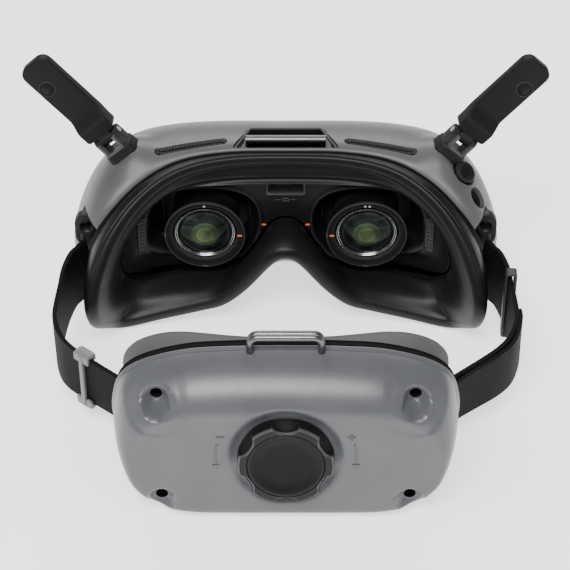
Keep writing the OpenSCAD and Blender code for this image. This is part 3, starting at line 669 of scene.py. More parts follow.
outer = [flare_ring(t) for t in np.linspace(0, 1, 12)[:-1]]
outer += [dome_ring(wide_ring, FRONT, b) for b in np.r_[np.linspace(0, 80, 26), 84, 87]]
inner_wide = ring_inset(wide_ring, WALL)
inner = [ring_inset(edge_ring, WALL)]
inner += [dome_ring(inner_wide, FRONT - WALL, b) for b in np.linspace(0, 87, 16)]
lip = [edge_ring * 0.7 + inner[0] * 0.3 + (0, -0.12, 0)]
outer = [shoulder(r) for r in outer]
rings = above_floor(outer[::-1] + lip + inner)
shell = loft("front_shell_skin", rings, first=(0, FRONT, NOSE_Z), last=(0, FRONT - WALL, NOSE_Z))


def capsule(a, b, r, n=10):
    """Racetrack between two flat points."""
    a, b = np.array(a, float), np.array(b, float)
    turn = math.degrees(math.atan2(b[1] - a[1], b[0] - a[0]))
    return np.array(arc(*b, r, turn - 90, turn + 90, n) + arc(*a, r, turn + 90, turn + 270, n))


UP = basis((0, 0, 0), UPWARD)
SHELL_POINTS = np.array([v.co for v in shell.data.vertices]) / MM


def shell_top(x, y):
    """Height of the shell's upper skin, from a plane through the points near a place."""
    away = np.hypot(SHELL_POINTS[:, 0] - x, SHELL_POINTS[:, 1] - y)
    near = SHELL_POINTS[(away < 5) & (SHELL_POINTS[:, 2] > 62)]
    near = near[near[:, 2] > near[:, 2].max() - 1.9]
    fit = np.linalg.lstsq(np.c_[near[:, :2], np.ones(len(near))], near[:, 2], rcond=None)[0]
    return float(fit @ (x, y, 1))


VENT_A, VENT_B, VENT_R = (25.0, 45.6), (50.0, 40.9), 1.9
dial = centre("focus_knob_right")
# vent slot, foot of the antenna, seat of the strap anchor, slot of the focus dial
CUTS = (
    (capsule(VENT_A, VENT_B, VENT_R), UP, 60, 76),
    (oval(6.55, 5.35, 3.2), basis(HINGE_AT, PADDLE_DIR, HINGE_AXIS), -15, -3),
    (capsule((LUG[2] - 3.4, 0), (LUG[2] + 3.4, 0), 5.2), basis((LUG[0], 0, 0), (0, 1, 0), UPWARD), 8, 32),
    (capsule((dial[0] - 4, dial[1]), (dial[0] + 4, dial[1]), 6.8), UP, -1, 9))
tools = [flipped(prism("tool", *cut), side) for side in (-1, 1) for cut in CUTS]
tools.append(lathe("tool", [(0, -7), (5.0, -7), (5.0, -0.6), (5.7, 0.1), (5.7, 7), (0, 7)],
                   basis(STICK - STICK_DIR * 0.4, STICK_DIR), 48))
tools.append(lathe("tool", [(0, -7), (4.55, -7), (4.55, 7), (0, 7)], basis(BUTTON, BUTTON_DIR), 48))


def bracket_outline(grow, r=1.4):
    """Trapezoid of the strap bracket, corners rounded."""
    rear, front = low("strap_bracket")[1], high("strap_bracket")[1]
    half = high("strap_bracket")[0]
    corners = [(half + grow, rear - grow), (half - 7 + grow, front + grow), (-half + 7 - grow, front + grow),
               (-half - grow, rear - grow)]
    pts = []
    for i, c in enumerate(corners):
        c = np.array(c)
        a, b = np.array(corners[i - 1]), np.array(corners[(i + 1) % 4])
        u, v = unit(a - c), unit(b - c)
        reach = r / math.tan(math.acos(np.clip(u @ v, -1, 1)) / 2)
        start, end = c + u * reach, c + v * reach
        for t in np.linspace(0, 1, 8):
            pts.append((1 - t) ** 2 * start + 2 * t * (1 - t) * c + t * t * end)
    return np.array(pts)


tools.append(prism("tool", bracket_outline(0.12), UP, 60, 76))
carve(shell, *tools)
done(shell, "goggles", GREY, "front_shell", sharp=32)

# Ribbed grilles let into the vent slots
for side_name, side in SIDES:
    parts = [prism("rib", capsule(VENT_A, VENT_B, VENT_R + 0.25), UP, 63.0, 65.2)]
    step = np.array(VENT_B) - np.array(VENT_A)
    run = np.linalg.norm(step)
    turn = math.atan2(step[1], step[0])
    lean = (math.cos(turn + 1.05), math.sin(turn + 1.05), 0)
    for k in range(23):
        at = np.array(VENT_A) + step * (k + 0.5) / 23
        for sign in (-1, 1):
            mid = at + np.array([-step[1], step[0]]) / run * sign * 0.95
            rib_at = basis((*mid, shell_top(*mid) - 2.6), UPWARD, lean)
            parts.append(block("rib", (1.75, 0.42, 4.6), rib_at, 0.1))
    parts.append(block("rib", (run + 2.4, 0.34, 4.2), basis((*(np.array(VENT_A) + step / 2), 66.0), (0, 0, 1),
                                                         (*step, 0)), 0.08))
    grille = flipped(joined("vent_grille_" + side_name, *parts), side)
    done(grille, "goggles", RIBS, slot="black_plastic")
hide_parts("top_vents")

# Strap bracket: raised bezel, pocket and floor, then the bar
rear = low("strap_bracket")[1]
floor_z = low("strap_bracket")[2]


BRACKET_Z, BRACKET_SLOPE, POCKET_Z = 69.0, math.tan(math.radians(9)), 64.0


def bracket_top(y):
    """Height of the bracket's sloping top."""
    return BRACKET_Z + BRACKET_SLOPE * (y - rear + 1)


def bracket_ring(flat, down):
    return np.array([(x, y, bracket_top(y) - down) for x, y in flat])


def corner_of(flat):
    """Index of the point nearest the right rear corner."""
    return int(np.argmax(flat[:, 0] - flat[:, 1]))


pocket = oval(15.75, 5.35, 1.7, 8) + (0, 47.65)
frame_line = bracket_outline(0)
pocket = np.roll(pocket, corner_of(frame_line) - corner_of(pocket), 0)
mid_line = frame_line * 0.45 + pocket * 0.55
bezel_rings = [level(frame_line, floor_z)]
bezel_rings += [bracket_ring(inset2(line, d), down) for line, d, down in (
    (frame_line, 0, 0.55), (frame_line, 0.12, 0.18), (frame_line, 0.5, -0.06), (frame_line, 1.0, 0.0),
    (frame_line, 1.25, 0.4), (mid_line, 0, 0.62), (pocket, -0.75, 0.3), (pocket, -0.4, 0.1),
    (pocket, -0.08, 0.3), (pocket, 0, 0.7))]
bezel_rings += [level(pocket, POCKET_Z), level(inset2(pocket, 0.5), POCKET_Z - 0.4)]
bracket = loft("strap_bracket_bezel", bezel_rings)
done(bracket, "goggles", CHARCOAL, "strap_bracket")


def on_bezel_top(at, facing):
    return facing[2] > 0.8 and at[2] > bracket_top(at[1]) - 0.5


second_look(bracket, EDGE_GREY, on_bezel_top)
bar = centre("strap_bar")
section = [(a * 1.0, b * 0.9) for a, b in circle2(1.85, 20)]
ends = np.linspace(-15.9, 15.9, 40)
bar_piece = sweep("strap_bar_piece", [(x, bar[1], bar[2] - 0.1) for x in ends], section, (0, 1, 0))
done(bar_piece, "goggles", BAR, "strap_bar")

# ---------------------------------------------------------------- foam, its carrier and the inner panel
def shift(ring, dy):
    return ring + (0, dy, 0)


lip_in = ring_inset(edge_ring, WALL + 0.2)
throat_out = ring_inset(panel_ring, -1.2)
carrier = loft("foam_carrier_frame", [
    shift(edge_ring, -0.2), shift(edge_ring * 0.5 + seat_ring * 0.5, 0), seat_ring, throat_out,
    shift(throat_out, 1.4), shift(throat_out * 0.2 + lip_in * 0.8, 1.2), shift(lip_in, -0.2)], ring=True)
done(carrier, "goggles", MATT, "foam_carrier")


def swollen(a, b, t, d):
    """Outline between two others, bulged outwards in the middle."""
    return ring_inset(a + (b - a) * t, -d * math.sin(math.pi * t))


seat = shift(seat_ring, -0.5)
throat = shift(ring_inset(panel_ring, -0.6), -0.5)
crest_out = ring_inset(crest_ring, -1.1)
crest_in = ring_inset(crest_ring, 4.6)
controls = [
    seat, swollen(seat, crest_out, 0.35, 0.9), swollen(seat, crest_out, 0.75, 0.7), shift(crest_out, 1.6),
    shift(ring_inset(crest_ring, -0.4), 0.35),
    shift(crest_ring * 0.5 + ring_inset(crest_ring, 3) * 0.5, -0.05),
    shift(ring_inset(crest_ring, 3.2), 0.5), shift(ring_inset(crest_ring, 4.5), 1.9),
    swollen(crest_in, throat, 0.3, -1.9), swollen(crest_in, throat, 0.6, -1.9),
    shift(ring_inset(throat, 0.5), -2.4), shift(ring_inset(throat, 0.3), -0.8), throat]
foam = loft("face_foam_skin", smooth_rings(controls), ring=True)
done(foam, "goggles", FOAM, "face_foam", sharp=60)

# Inner panel: flat across the middle, swept back at the temples
PANEL_Y, PANEL_T, FLAT, SWEEP = 36.4, 2.0, 46.0, 24.0


def panel_front(x):
    """Depth of the panel's front face."""
    return PANEL_Y + PANEL_T - SWEEP + np.sqrt((SWEEP - PANEL_T) ** 2 - np.clip(np.abs(x) - FLAT, 0, 21) ** 2)


def signed_distance(x, z, line):
    """Distance to a closed flat line, negative inside."""
    a, b = line, np.roll(line, -1, 0)
    p = np.stack([x, z], axis=-1)[..., None, :]
    ab = b - a
    t = np.clip(((p - a) * ab).sum(-1) / (ab * ab).sum(-1), 0, 1)
    away = np.linalg.norm(p - (a + t[..., None] * ab), axis=-1).min(-1)
    px, pz = p[..., 0], p[..., 1]
    crosses = (a[:, 1] > pz) != (b[:, 1] > pz)
    at = a[:, 0] + (pz - a[:, 1]) / np.where(np.abs(ab[:, 1]) < 1e-9, 1e-9, ab[:, 1]) * ab[:, 0]
    return np.where((crosses & (px < at)).sum(-1) % 2 == 1, -away, away)


WELL = spline([(10.9, 36), (11.9, 45), (16.5, 50.7), (24.5, 53.5), (34, 53.8), (43, 52.6), (50, 49.3),
               (54.4, 43.5), (55.4, 36), (55.5, 30.5), (53.9, 27.2), (47.5, 23.4), (41, 20.2), (34, 18.2),
               (26, 18.2), (18, 21), (13, 27.5)], 5, closed=True)
# distances inside the well's outline: the panel's hole, the tray's two faces and its own hole
PANEL_HOLE, TRAY_OUT, TRAY_IN, TRAY_HOLE = 2.3, 1.9, 2.4, 2.8
SLEEVE_ROOM, EYE_TRAVEL = 14.6, 3.9
xs, zs = np.meshgrid(np.linspace(-67, 67, 224), np.linspace(11, 60.5, 84))
d = np.minimum(signed_distance(xs, zs, WELL), signed_distance(-xs, zs, WELL))
corner = np.exp(-(((np.abs(xs) - 51.5) / 7) ** 2 + ((zs - 25.0) / 4.0) ** 2))
front = panel_front(xs) - 0.75 * np.exp(-(((d - 0.7) / 0.8) ** 2)) - 2.6 * corner * smoothstep(-1.5, 0.8, d)
front = front + 6.0 * smoothstep(0.3, -2.6, d)
back = np.maximum(panel_front(xs) + PANEL_T, front + 1.6)
sheet_f = np.stack([xs, front, zs], -1).reshape(-1, 3)
sheet_b = np.stack([xs, back, zs], -1).reshape(-1, 3)
nz, nx = xs.shape
grid = [(j * nx + i, j * nx + i + 1, (j + 1) * nx + i + 1, (j + 1) * nx + i)
        for j in range(nz - 1) for i in range(nx - 1)]
rim_ids = ([i for i in range(nx)] + [(j + 1) * nx - 1 for j in range(1, nz)]
           + [(nz - 1) * nx + i for i in range(nx - 2, -1, -1)] + [j * nx for j in range(nz - 2, 0, -1)])
base = nx * nz
faces = grid + [tuple(base + k for k in f[::-1]) for f in grid]
faces += [(a, a + base, b + base, b) for a, b in zip(rim_ids, rim_ids[1:] + rim_ids[:1])]
panel = outwards(build("inner_panel_plate", np.vstack([sheet_f, sheet_b]), faces))
ALONG_Y = basis((0, 0, 0), (0, 1, 0), (1, 0, 0))     # local x is x, local y is -z


def front_outline(ring):
    return np.c_[ring[:, 0], -ring[:, 2]][::-1]


keep = prism("tool", front_outline(ring_inset(panel_ring, 0.35)), ALONG_Y, 15, 52)
carve(panel, keep, mode="INTERSECT")
tools = []
for side in (-1, 1):
    hole = np.c_[WELL[:, 0] * side, -WELL[:, 1]]
    hole = hole if side > 0 else hole[::-1]
    tools.append(prism("tool", inset2(hole, PANEL_HOLE), ALONG_Y, 15, 60))
CARD_HALF, CARD_LOW, CARD_HIGH, CARD_BACK = 7.15, 51.0, 56.2, 40.2
tools.append(prism("tool", oval(CARD_HALF + 0.5, (CARD_HIGH - CARD_LOW) / 2 + 0.5, 0.7)
                   + (0, -(CARD_LOW + CARD_HIGH) / 2), ALONG_Y, 15, 60))
carve(panel, *tools)
done(panel, "goggles", DARK, "inner_panel", sharp=40)

# Black tray behind each well: it hides the optical frame, and leaves the eyepiece its travel
for side_name, side in SIDES:
    wide = np.c_[WELL[:, 0] * side, WELL[:, 1]]
    wide = wide if side < 0 else wide[::-1]
    wall_out, wall_in = inset2(wide, TRAY_OUT), inset2(wide, TRAY_IN)
    axis_at = eye[side_name][[0, 2]]
    rel = inset2(wide, TRAY_HOLE) - axis_at
    turn = np.arctan2(rel[:, 1], rel[:, 0])
    reach = np.minimum(np.linalg.norm(rel, axis=1), SLEEVE_ROOM + EYE_TRAVEL * np.abs(np.cos(turn)))
    hole = columns(reach * np.cos(turn), reach * np.sin(turn)) + axis_at

    def at_depth(line, y):
        return columns(line[:, 0], y, line[:, 1])

    lip_y = panel_front(wall_out[:, 0]) + 6.2
    tray = loft("eye_well_tray_" + side_name, [
        at_depth(wall_out, lip_y), at_depth(wall_out, 48.6), at_depth(hole, 48.6), at_depth(hole, 47.8),
        at_depth(wall_in, 47.8), at_depth(wall_in, lip_y)], ring=True)
    done(tray, "goggles", MATT, slot="black_plastic", sharp=40)

# Card slot: a notch, and the slot's metal lip in its back wall
notch_mid = (CARD_LOW + CARD_HIGH) / 2
half_h = (CARD_HIGH - CARD_LOW) / 2


def notch_ring(hx, hz, y, r=0.5):
    flat = oval(hx, hz, r, 4)
    return columns(flat[:, 0], y, flat[:, 1] + notch_mid)


notch = loft("card_notch", [notch_ring(*ring) for ring in (
    (CARD_HALF + 0.45, half_h + 0.45, PANEL_Y + 0.12), (CARD_HALF + 0.1, half_h + 0.1, PANEL_Y + 0.02),
    (CARD_HALF, half_h, PANEL_Y + 0.15, 1.6), (CARD_HALF, half_h, CARD_BACK - 0.3, 1.6),
    (CARD_HALF - 0.3, half_h - 0.3, CARD_BACK, 1.5), (6.3, 0.75, CARD_BACK, 0.3),
    (6.2, 0.65, CARD_BACK + 3.2, 0.3), (6.6, 1.1, CARD_BACK + 3.6, 0.3),
    (CARD_HALF + 0.45, half_h + 0.45, CARD_BACK + 0.8))], ring=True)
done(notch, "goggles", NOTCH, "card_socket", slot="charcoal_plastic")
lip_at = basis((-0.5, CARD_BACK + 0.25, notch_mid - 0.42), UPWARD)
card_lip = block("card_slot_lip", (5.4, 0.5, 0.35), lip_at, 0.1)
done(card_lip, "goggles", SATIN, slot="satin_metal")
# A generic memory-card sign below the slot
sign = np.array([(-1.3, -0.8), (1.3, -0.8), (1.3, 0.3), (0.8, 0.8), (-1.3, 0.8)])
hollow = np.array([(-0.95, -0.45), (0.95, -0.45), (0.95, 0.15), (0.65, 0.45), (-0.95, 0.45)])
on_panel = rear_facing(0, PANEL_Y, 48.4)
parts = []
for x in (-3.2, 3.2):
    parts.append(block("dash", (2.2, 0.45, 0.24), rear_facing(x, PANEL_Y, 48.4), 0.04))
rings = [placed(level(line, h), on_panel) for line, h in
         ((sign, -0.1), (sign, 0.12), (hollow, 0.12), (hollow, -0.1))]
parts.append(loft("card", rings, ring=True))
sign_piece = joined("card_sign", *parts)
done(sign_piece, "goggles", NOTCH, slot="charcoal_plastic")

# ---------------------------------------------------------------- eyepieces
DIAL_Y = 52.0
MARK_SIZE = (2.3, 0.8, 0.3)      # orange reference marks
for side_name, side in SIDES:
    c = eye[side_name]
    axis = rear_facing(c[0], 0, c[2])
    sleeve = lathe("sleeve", [
        (12.95, -50), (12.95, -30.5), (13.15, -30.15), (14.7, -29.75), (15.3, -29.35), (15.7, -29.0),
        (15.98, -28.95), (16.18, -29.15), (16.22, -29.6), (16.05, -30.5), (15.3, -31.3), (14.0, -31.9),
        (13.4, -33), (13.35, -50)], axis, 128)
    plate = block("plate", (37, 38, 6.8), rear_facing(c[0], 53.9, c[2]), 0.5, 2)
    bore = lathe("tool", [(0, -70), (12.5, -70), (12.5, -45), (0, -45)], axis, 96)
    carve(plate, bore)
    # cover over the focus dial's slot, and the boss round the dial's shaft
    cover = block("cover", (25, 22, 0.9), basis((c[0] + side * 1.5, 47.0, 10.25), UPWARD), 0.2, 2)
    boss = lathe("boss", [(2.1, 9.85), (3.8, 9.85), (3.8, 17.3), (2.1, 17.3)],
                 basis((c[0], DIAL_Y, 0), UPWARD), 40)
    eyepiece = joined("eyepiece_" + side_name, sleeve, plate, cover, boss)
    done(eyepiece, "optics_" + side_name, SLEEVE, "carriage_" + side_name, slot="charcoal_plastic")
    tube = lathe("focus_tube_body_" + side_name, [
        (12.86, -49), (12.86, -31.6), (12.7, -31.35), (12.2, -31.35), (12.05, -31.6), (12.04, -33.6),
        (10.75, -33.9), (10.75, -37.6), (10.0, -37.9), (10.0, -49)], axis, 96)
    done(tube, "focus_" + side_name, MATT, "focus_tube_" + side_name)
    ring_piece = lathe("lens_trim_" + side_name, [
        (12.0, -32.3), (12.0, -30.7), (11.95, -30.6), (11.85, -30.62), (11.4, -31.1), (11.36, -31.3),
        (11.28, -31.3), (11.24, -31.0), (11.18, -30.92), (11.1, -30.95), (10.78, -31.35),
        (10.76, -32.3)], axis, 128)
    done(ring_piece, "focus_" + side_name, RING, "lens_ring_" + side_name, sharp=60)
    lens_r = width("lens_" + side_name) / 2
    front_y = low("lens_" + side_name)[1]
    cup = [(lens_r * k / 20, -(front_y + 2.6 * (k / 20) ** 2)) for k in range(21)]
    lens = lathe("lens_painted_reflections_" + side_name, cup + [(lens_r, -37.2), (0, -37.2)], axis, 96)
    done(lens, "focus_" + side_name, glass_painted_reflections("glass_painted_reflections_" + side_name, np.array([c[0], 0, c[2]])),
         "lens_" + side_name)
    # orange reference mark and a pale pair of dots on the eyepiece's face
    mark_at = rear_facing(c[0] - side * 14.15, 29.78, c[2] - 0.8)
    mark = block("eye_mark_" + side_name, MARK_SIZE, mark_at, 0.08)
    done(mark, "optics_" + side_name, ORANGE, slot="charcoal_plastic")
    dots = [lathe("dot", [(0, -0.2), (0.5, -0.2), (0.5, 0.06), (0.4, 0.1), (0, 0.1)],
                  rear_facing(c[0] + k * 0.75, 29.85, c[2] + 13.9), 16)
            for k in ((0,) if side < 0 else (-1.2, 1.2))]
    done(joined("eye_dots_" + side_name, *dots), "optics_" + side_name, MARK, slot="charcoal_plastic")
    mark_at = rear_facing(side * 9.1, PANEL_Y - 0.35, c[2])
    panel_mark = block("panel_mark_" + side_name, MARK_SIZE, mark_at, 0.08)
    done(panel_mark, "goggles", ORANGE, slot="charcoal_plastic")

# ---------------------------------------------------------------- antennas
Z_AX = PADDLE_DIR
X_AX = unit(HINGE_AXIS - Z_AX * (HINGE_AXIS @ Z_AX))
hinge_frame = (columns(X_AX, np.cross(Z_AX, X_AX), Z_AX), HINGE_AT)
PADDLE_L, PADDLE_HALF = 43.0, 6.9


def at_hinge(x, y, z):
    """Place in the antenna's own axes, as a frame."""
    return hinge_frame[0], placed([[x, y, z]], hinge_frame)[0]


def section_ring(z, half, y0, y1, r):
    flat = oval(half, (y1 - y0) / 2, min(r, half * 0.9, (y1 - y0) * 0.45), 6)
    return placed(level(flat + (0, (y0 + y1) / 2), z), hinge_frame)


def paddle_ring(z):
    tip = 4.2
    half = PADDLE_HALF
    over = z - (PADDLE_L - tip)
    if over > 0:
        half -= tip - math.sqrt(max(tip**2 - over**2, 0))
    foot = 4.6 - z
    if foot > 0:
        half -= 1.3 - math.sqrt(max(1.3**2 - min(foot, 1.3) ** 2, 0))
    bend = float(smoothstep(8.2, 14.6, z))
    y0 = -3.7 + 3.75 * bend
    y1 = 3.7 + 0.75 * float(smoothstep(6.0, 12.5, z))
    end = max(0.0, (z - (PADDLE_L - 0.9)) / 0.9)
    squeeze = 0.9 * (1 - math.sqrt(max(1 - end * end, 0)))
    return section_ring(z, half, y0 + squeeze, y1 - squeeze, 0.75)


levels = np.r_[3.3, 3.5, 3.8, 4.2, 4.6, np.linspace(5.2, 16, 26), np.linspace(17, 38, 16),
               np.linspace(38.8, 42, 12), 42.4, 42.7, 42.88, 42.97]
for side_name, side in SIDES:
    blade = loft("blade", [paddle_ring(z) for z in levels])
    knuckle = sweep("knuckle", [at_hinge(x, 0, 0)[1] for x in (-3.05, -2.8, 2.8, 3.05)],
                    circle2(2.5, 28), (0, 1, 0))
    neck = loft("neck", [section_ring(z, 2.95, -2.35, 2.35, 0.5) for z in (0.2, 1.6, 3.9)])
    parts = [blade, knuckle, neck]
    # raised dimple near the tip: a low ring with a dome in it
    spot = basis(at_hinge(2.6, 0.1, 31.0)[1], -hinge_frame[0][:, 1], X_AX)
    parts.append(lathe("dimple", [(3.6, -0.3), (3.55, 0.0), (3.35, 0.28), (3.1, 0.34), (2.85, 0.22),
                                  (2.6, 0.1), (2.3, 0.2), (1.8, 0.5), (1.1, 0.72), (0.0, 0.8)], spot, 40))
    paddle = flipped(joined("antenna_paddle_" + side_name, *parts), side)
    done(paddle, "antenna_arm_" + side_name, CHARCOAL, "antenna_" + side_name, sharp=42)

    foot = loft("foot", [section_ring(*ring) for ring in (
        (-13.0, 6.2, -5.2, 5.2, 3.0), (-10.2, 6.35, -5.3, 5.3, 3.0), (-9.6, 6.45, -5.35, 5.35, 3.0),
        (-9.3, 6.2, -5.1, 5.1, 2.8), (-9.05, 6.45, -5.3, 5.3, 2.9), (-8.2, 6.4, -5.2, 5.2, 2.7),
        (-6.6, 6.2, -4.9, 4.9, 2.3), (-5.6, 6.1, -4.75, 4.7, 2.1), (-5.25, 5.7, -4.4, 4.3, 1.8))])
    ear = np.array([(-2.6, -5.6)] + arc(0, 0, 2.6, 180, 0, 14) + [(2.6, -5.6)])
    ears = [slab("ear", ear[::-1], lo_x, hi_x, 0.25, (np.roll(hinge_frame[0], -1, 1), HINGE_AT), 3)
            for lo_x, hi_x in ((-5.85, -3.35), (3.35, 5.85))]
    stand = flipped(joined("antenna_stand_" + side_name, foot, *ears), side)
    done(stand, "goggles", CHARCOAL, "antenna_base_" + side_name)
    # pale U-shaped guard on the rear of the hinge
    guard_parts = [block("leg", (1.25, 1.7, 6.2), at_hinge(x, -4.55, -2.2), 0.22) for x in (-3.7, 3.7)]
    guard_parts.append(block("sill", (8.65, 1.7, 1.25), at_hinge(0, -4.55, -4.9), 0.22, 0.3))
    guard = flipped(joined("antenna_guard_" + side_name, *guard_parts), side)
    done(guard, "goggles", EDGE_GREY, slot="charcoal_plastic")

# ---------------------------------------------------------------- controls on the right shoulder
stick_axis = basis(STICK, STICK_DIR)
well = lathe("stick_well", [
    (5.55, -5.6), (5.55, -0.9), (5.9, -0.25), (5.75, 0.02), (5.45, 0.0), (5.15, -0.4), (4.95, -1.2),
    (4.7, -4.6), (4.2, -4.8), (4.2, -5.6)], stick_axis, 72)
done(well, "goggles", DARK, "joystick_base", sharp=50)
gimbal = lathe("stick_gimbal", [
    (3.05, -3.9), (4.1, -3.9), (4.15, -3.3), (3.7, -2.5), (3.05, -2.2)], stick_axis, 56)
done(gimbal, "stick_ring", DARK, "joystick_gimbal", slot="black_plastic", sharp=60)
stem = lathe("stick_boot", [(0, -3.9), (2.55, -3.9), (2.95, -3.3), (2.9, -2.4), (2.2, -1.4), (1.5, -1.0),
                            (1.1, -0.7), (1.1, 0.7), (0, 0.75)], stick_axis, 56)
done(stem, "stick_stem", DARK, "joystick_stem", slot="black_plastic", sharp=60)
cap = lathe("stick_cap_disc", [
    (0, -0.55), (1.9, -0.6), (2.1, -0.2), (2.6, 0.35), (4.2, 0.75), (4.62, 1.0), (4.75, 1.35),
    (4.68, 1.75), (4.4, 2.15), (3.95, 2.4), (3.5, 2.42), (3.1, 2.2), (2.6, 1.85), (1.6, 1.62),
    (0, 1.55)], stick_axis, 72)
done(cap, "stick_cap", CHARCOAL, "joystick_cap", sharp=50)
button_axis = basis(BUTTON, BUTTON_DIR)
key = lathe("back_key_cap", [
    (0, -2.6), (4.55, -2.6), (4.55, -1.6), (4.2, -1.4), (4.2, 0.75), (4.1, 1.02), (3.85, 1.15), (3.6, 1.1),
    (3.35, 0.9), (3.0, 0.78), (2.7, 0.74), (2.45, 0.9), (2.2, 0.76), (1.2, 0.62),
    (0, 0.58)], button_axis, 72)
done(key, "back_key", CHARCOAL, "back_button", slot="black_plastic", sharp=50)
bezel = lathe("back_key_bezel", [
    (4.5, -1.2), (4.5, 0.12), (4.65, 0.3), (4.95, 0.2), (5.1, -0.1), (5.1, -1.2)], button_axis, 72)
done(bezel, "goggles", DARK, slot="black_plastic")

# ---------------------------------------------------------------- battery pack
RIM_Y = high("rear_case")[1]
LEAN = math.radians(5.7)
SLOPE = math.tan(LEAN)
FACE_Y = -93.7
OUT = np.array([0, -math.cos(LEAN), math.sin(LEAN)])
KNOB_Z = 29.2
KNOB_AT = np.array([0, FACE_Y + SLOPE * KNOB_Z, KNOB_Z])
knob_axis = basis(KNOB_AT, OUT)
SCREWS = [np.array([46.0, -79, 50]), np.array([45.0, -87, 9.6])]
SCREW_HOLE_R, SCOOP_FLOORS, SCOOP_REACH = 2.2, (-79.3, -88.8), (5.9, 2.5)
rim_ring = outline(RIM, PX)
rim_ring[:, 1] = RIM_Y
face_ring = outline(FACE, PX)
face_ring[:, 1] = FACE_Y + SLOPE * face_ring[:, 2]


def pack_ring(rim, face, b):
    """Outline of the case at an angle from its rim to its face."""
    rise = np.clip((rim[:, 2] - 14) / 34, 0, 1)
    c = math.cos(math.radians(b)) ** (0.6 + 0.65 * rise * rise * (3 - 2 * rise))
    s = math.sin(math.radians(b))
    return columns(face[:, 0] + (rim[:, 0] - face[:, 0]) * c, rim[:, 1] + (face[:, 1] - rim[:, 1]) * s,
                   face[:, 2] + (rim[:, 2] - face[:, 2]) * c)


def pack_details(points, wider=0.0):
    """Dish round the knob and scoops at the screws."""
    p = points.copy()
    rel = p - KNOB_AT
    along = rel @ OUT
    away = np.linalg.norm(rel - along[:, None] * OUT, axis=1) - wider
    p -= ((1.8 * smoothstep(21.4, 17.9, away)) * (along > -9))[:, None] * OUT
    off_rim = smoothstep(RIM_Y - 4, RIM_Y - 9, p[:, 1])
    for screw, floor_y, turn in zip(SCREWS, SCOOP_FLOORS, (0.4, 0.0)):
        for side in (-1, 1):
            away = np.hypot(p[:, 0] - side * screw[0], p[:, 2] - screw[2]) - wider
            sunk = np.maximum(floor_y + wider - p[:, 1], 0)
            p[:, 1] += off_rim * (sunk * smoothstep(*SCOOP_REACH, away) + turn * smoothstep(11.6, 10.7, away))
    return p


outer = [pack_ring(rim_ring, face_ring, b) for b in np.linspace(6, 90, 33)]
hub = np.array([0, FACE_Y + SLOPE * 26, 26.0])
outer += [hub + (face_ring - hub) * k for k in np.linspace(0.97, 0.05, 34)]
BEAD = ((0.6, 0), (0.1, 0.08), (-0.3, 0.3), (-0.55, 0.7), (-0.6, 1.1), (-0.5, 1.4), (-0.15, 2.0),
        (0.0, 2.4))
outer = [ring_inset(rim_ring, d) + (0, -y, 0) for d, y in BEAD] + outer
inner_rim = ring_inset(rim_ring, WALL)
inner_face = ring_inset(face_ring, WALL * 0.6) + (0, WALL, 0)
inner = [pack_ring(inner_rim, inner_face, b) for b in np.linspace(0, 90, 14)]
inner += [hub + (0, WALL, 0) + (inner_face - hub - (0, WALL, 0)) * k for k in np.linspace(0.9, 0.1, 9)]
rings = above_floor([pack_details(r, 2.2) for r in inner[::-1]] + [pack_details(r) for r in outer])
case = loft("rear_case_skin", rings, first=tuple(pack_details(hub[None] + (0, WALL, 0), 2.2)[0]),
            last=tuple(pack_details(hub[None])[0]))
screw_axes = [basis(screw * (side, 1, 1), REARWARD) for side in (-1, 1) for screw in SCREWS]
tools = [lathe("tool", [(0, -9), (SCREW_HOLE_R, -9), (SCREW_HOLE_R, 12), (0, 12)], axis, 40)
         for axis in screw_axes]
button = centre("power_button")
tools.append(lathe("tool", [(0, -3), (4.8, -3), (4.8, 6), (0, 6)], basis((*button[:2], 0), UPWARD), 48))
tools.append(lathe("tool", [(0, -9), (6.0, -9), (6.0, 6), (0, 6)], knob_axis, 48))
carve(case, *tools)
done(case, "pack", PACK, "rear_case", sharp=34)


# Walls of the screw holes in the case, painted matt black as painted shade inside the holes.
def screw_hole_wall_painted_shade(at, facing):
    away = min(math.hypot(abs(at[0]) - s[0], at[2] - s[2]) for s in SCREWS)
    return facing[1] ** 2 < 0.05 and away < SCREW_HOLE_R + 0.02


second_look(case, MATT, screw_hole_wall_painted_shade)
screws = []
for axis in screw_axes:
    head = lathe("head", [(0, -9.4), (2.15, -9.4), (2.15, -5.1), (1.95, -4.8), (0, -4.8)], axis, 32)
    screws.append(carve(head, prism("tool", circle2(1.05, 6), axis, -6.2, 0)))
done(joined("case_screw_heads", *screws), "pack", DARK, "case_screws", slot="steel")

plate_line = np.c_[rim_ring[:, 0] * 0.995, -np.maximum(31 + (rim_ring[:, 2] - 31) * 0.995, 0.05)]
plate = slab("pad_plate_board", plate_line[::-1], RIM_Y + 0.2, RIM_Y + 2.8, 0.35, ALONG_Y, 3)
done(plate, "pack", MATT, "pad_plate", slot="charcoal_plastic")

pad_line = outline(PAD_LINE, PX)


def pad_ring(k, y, bow):
    return columns(pad_line[:, 0] * k, y + bow * (pad_line[:, 0] / 56) ** 2, 30 + (pad_line[:, 2] - 30) * k)


controls = [pad_ring(*c) for c in (
    (0.15, -52.45, 2.2), (0.45, -52.4, 2.8), (0.72, -52.5, 3.0), (0.9, -53.2, 3.5), (0.975, -55.0, 3.5),
    (1, -58.0, 3), (0.985, -61.6, 1.4), (0.95, -63.7, 0.3), (0.9, -63.9, 0))]
pad = loft("head_pad_skin", smooth_rings(controls), first=(0, -52.45, 30), last=(0, -63.9, 30))
done(pad, "pack", PAD, "head_pad", sharp=70)

# Adjusting knob: six lobes with scallops between them, a groove and a dished cap
KNOB_R = width("adjust_knob") / 2
KNOB_H, CAP_R = 4.8, 13.7
turns = np.linspace(0, 2 * math.pi, 288, endpoint=False)


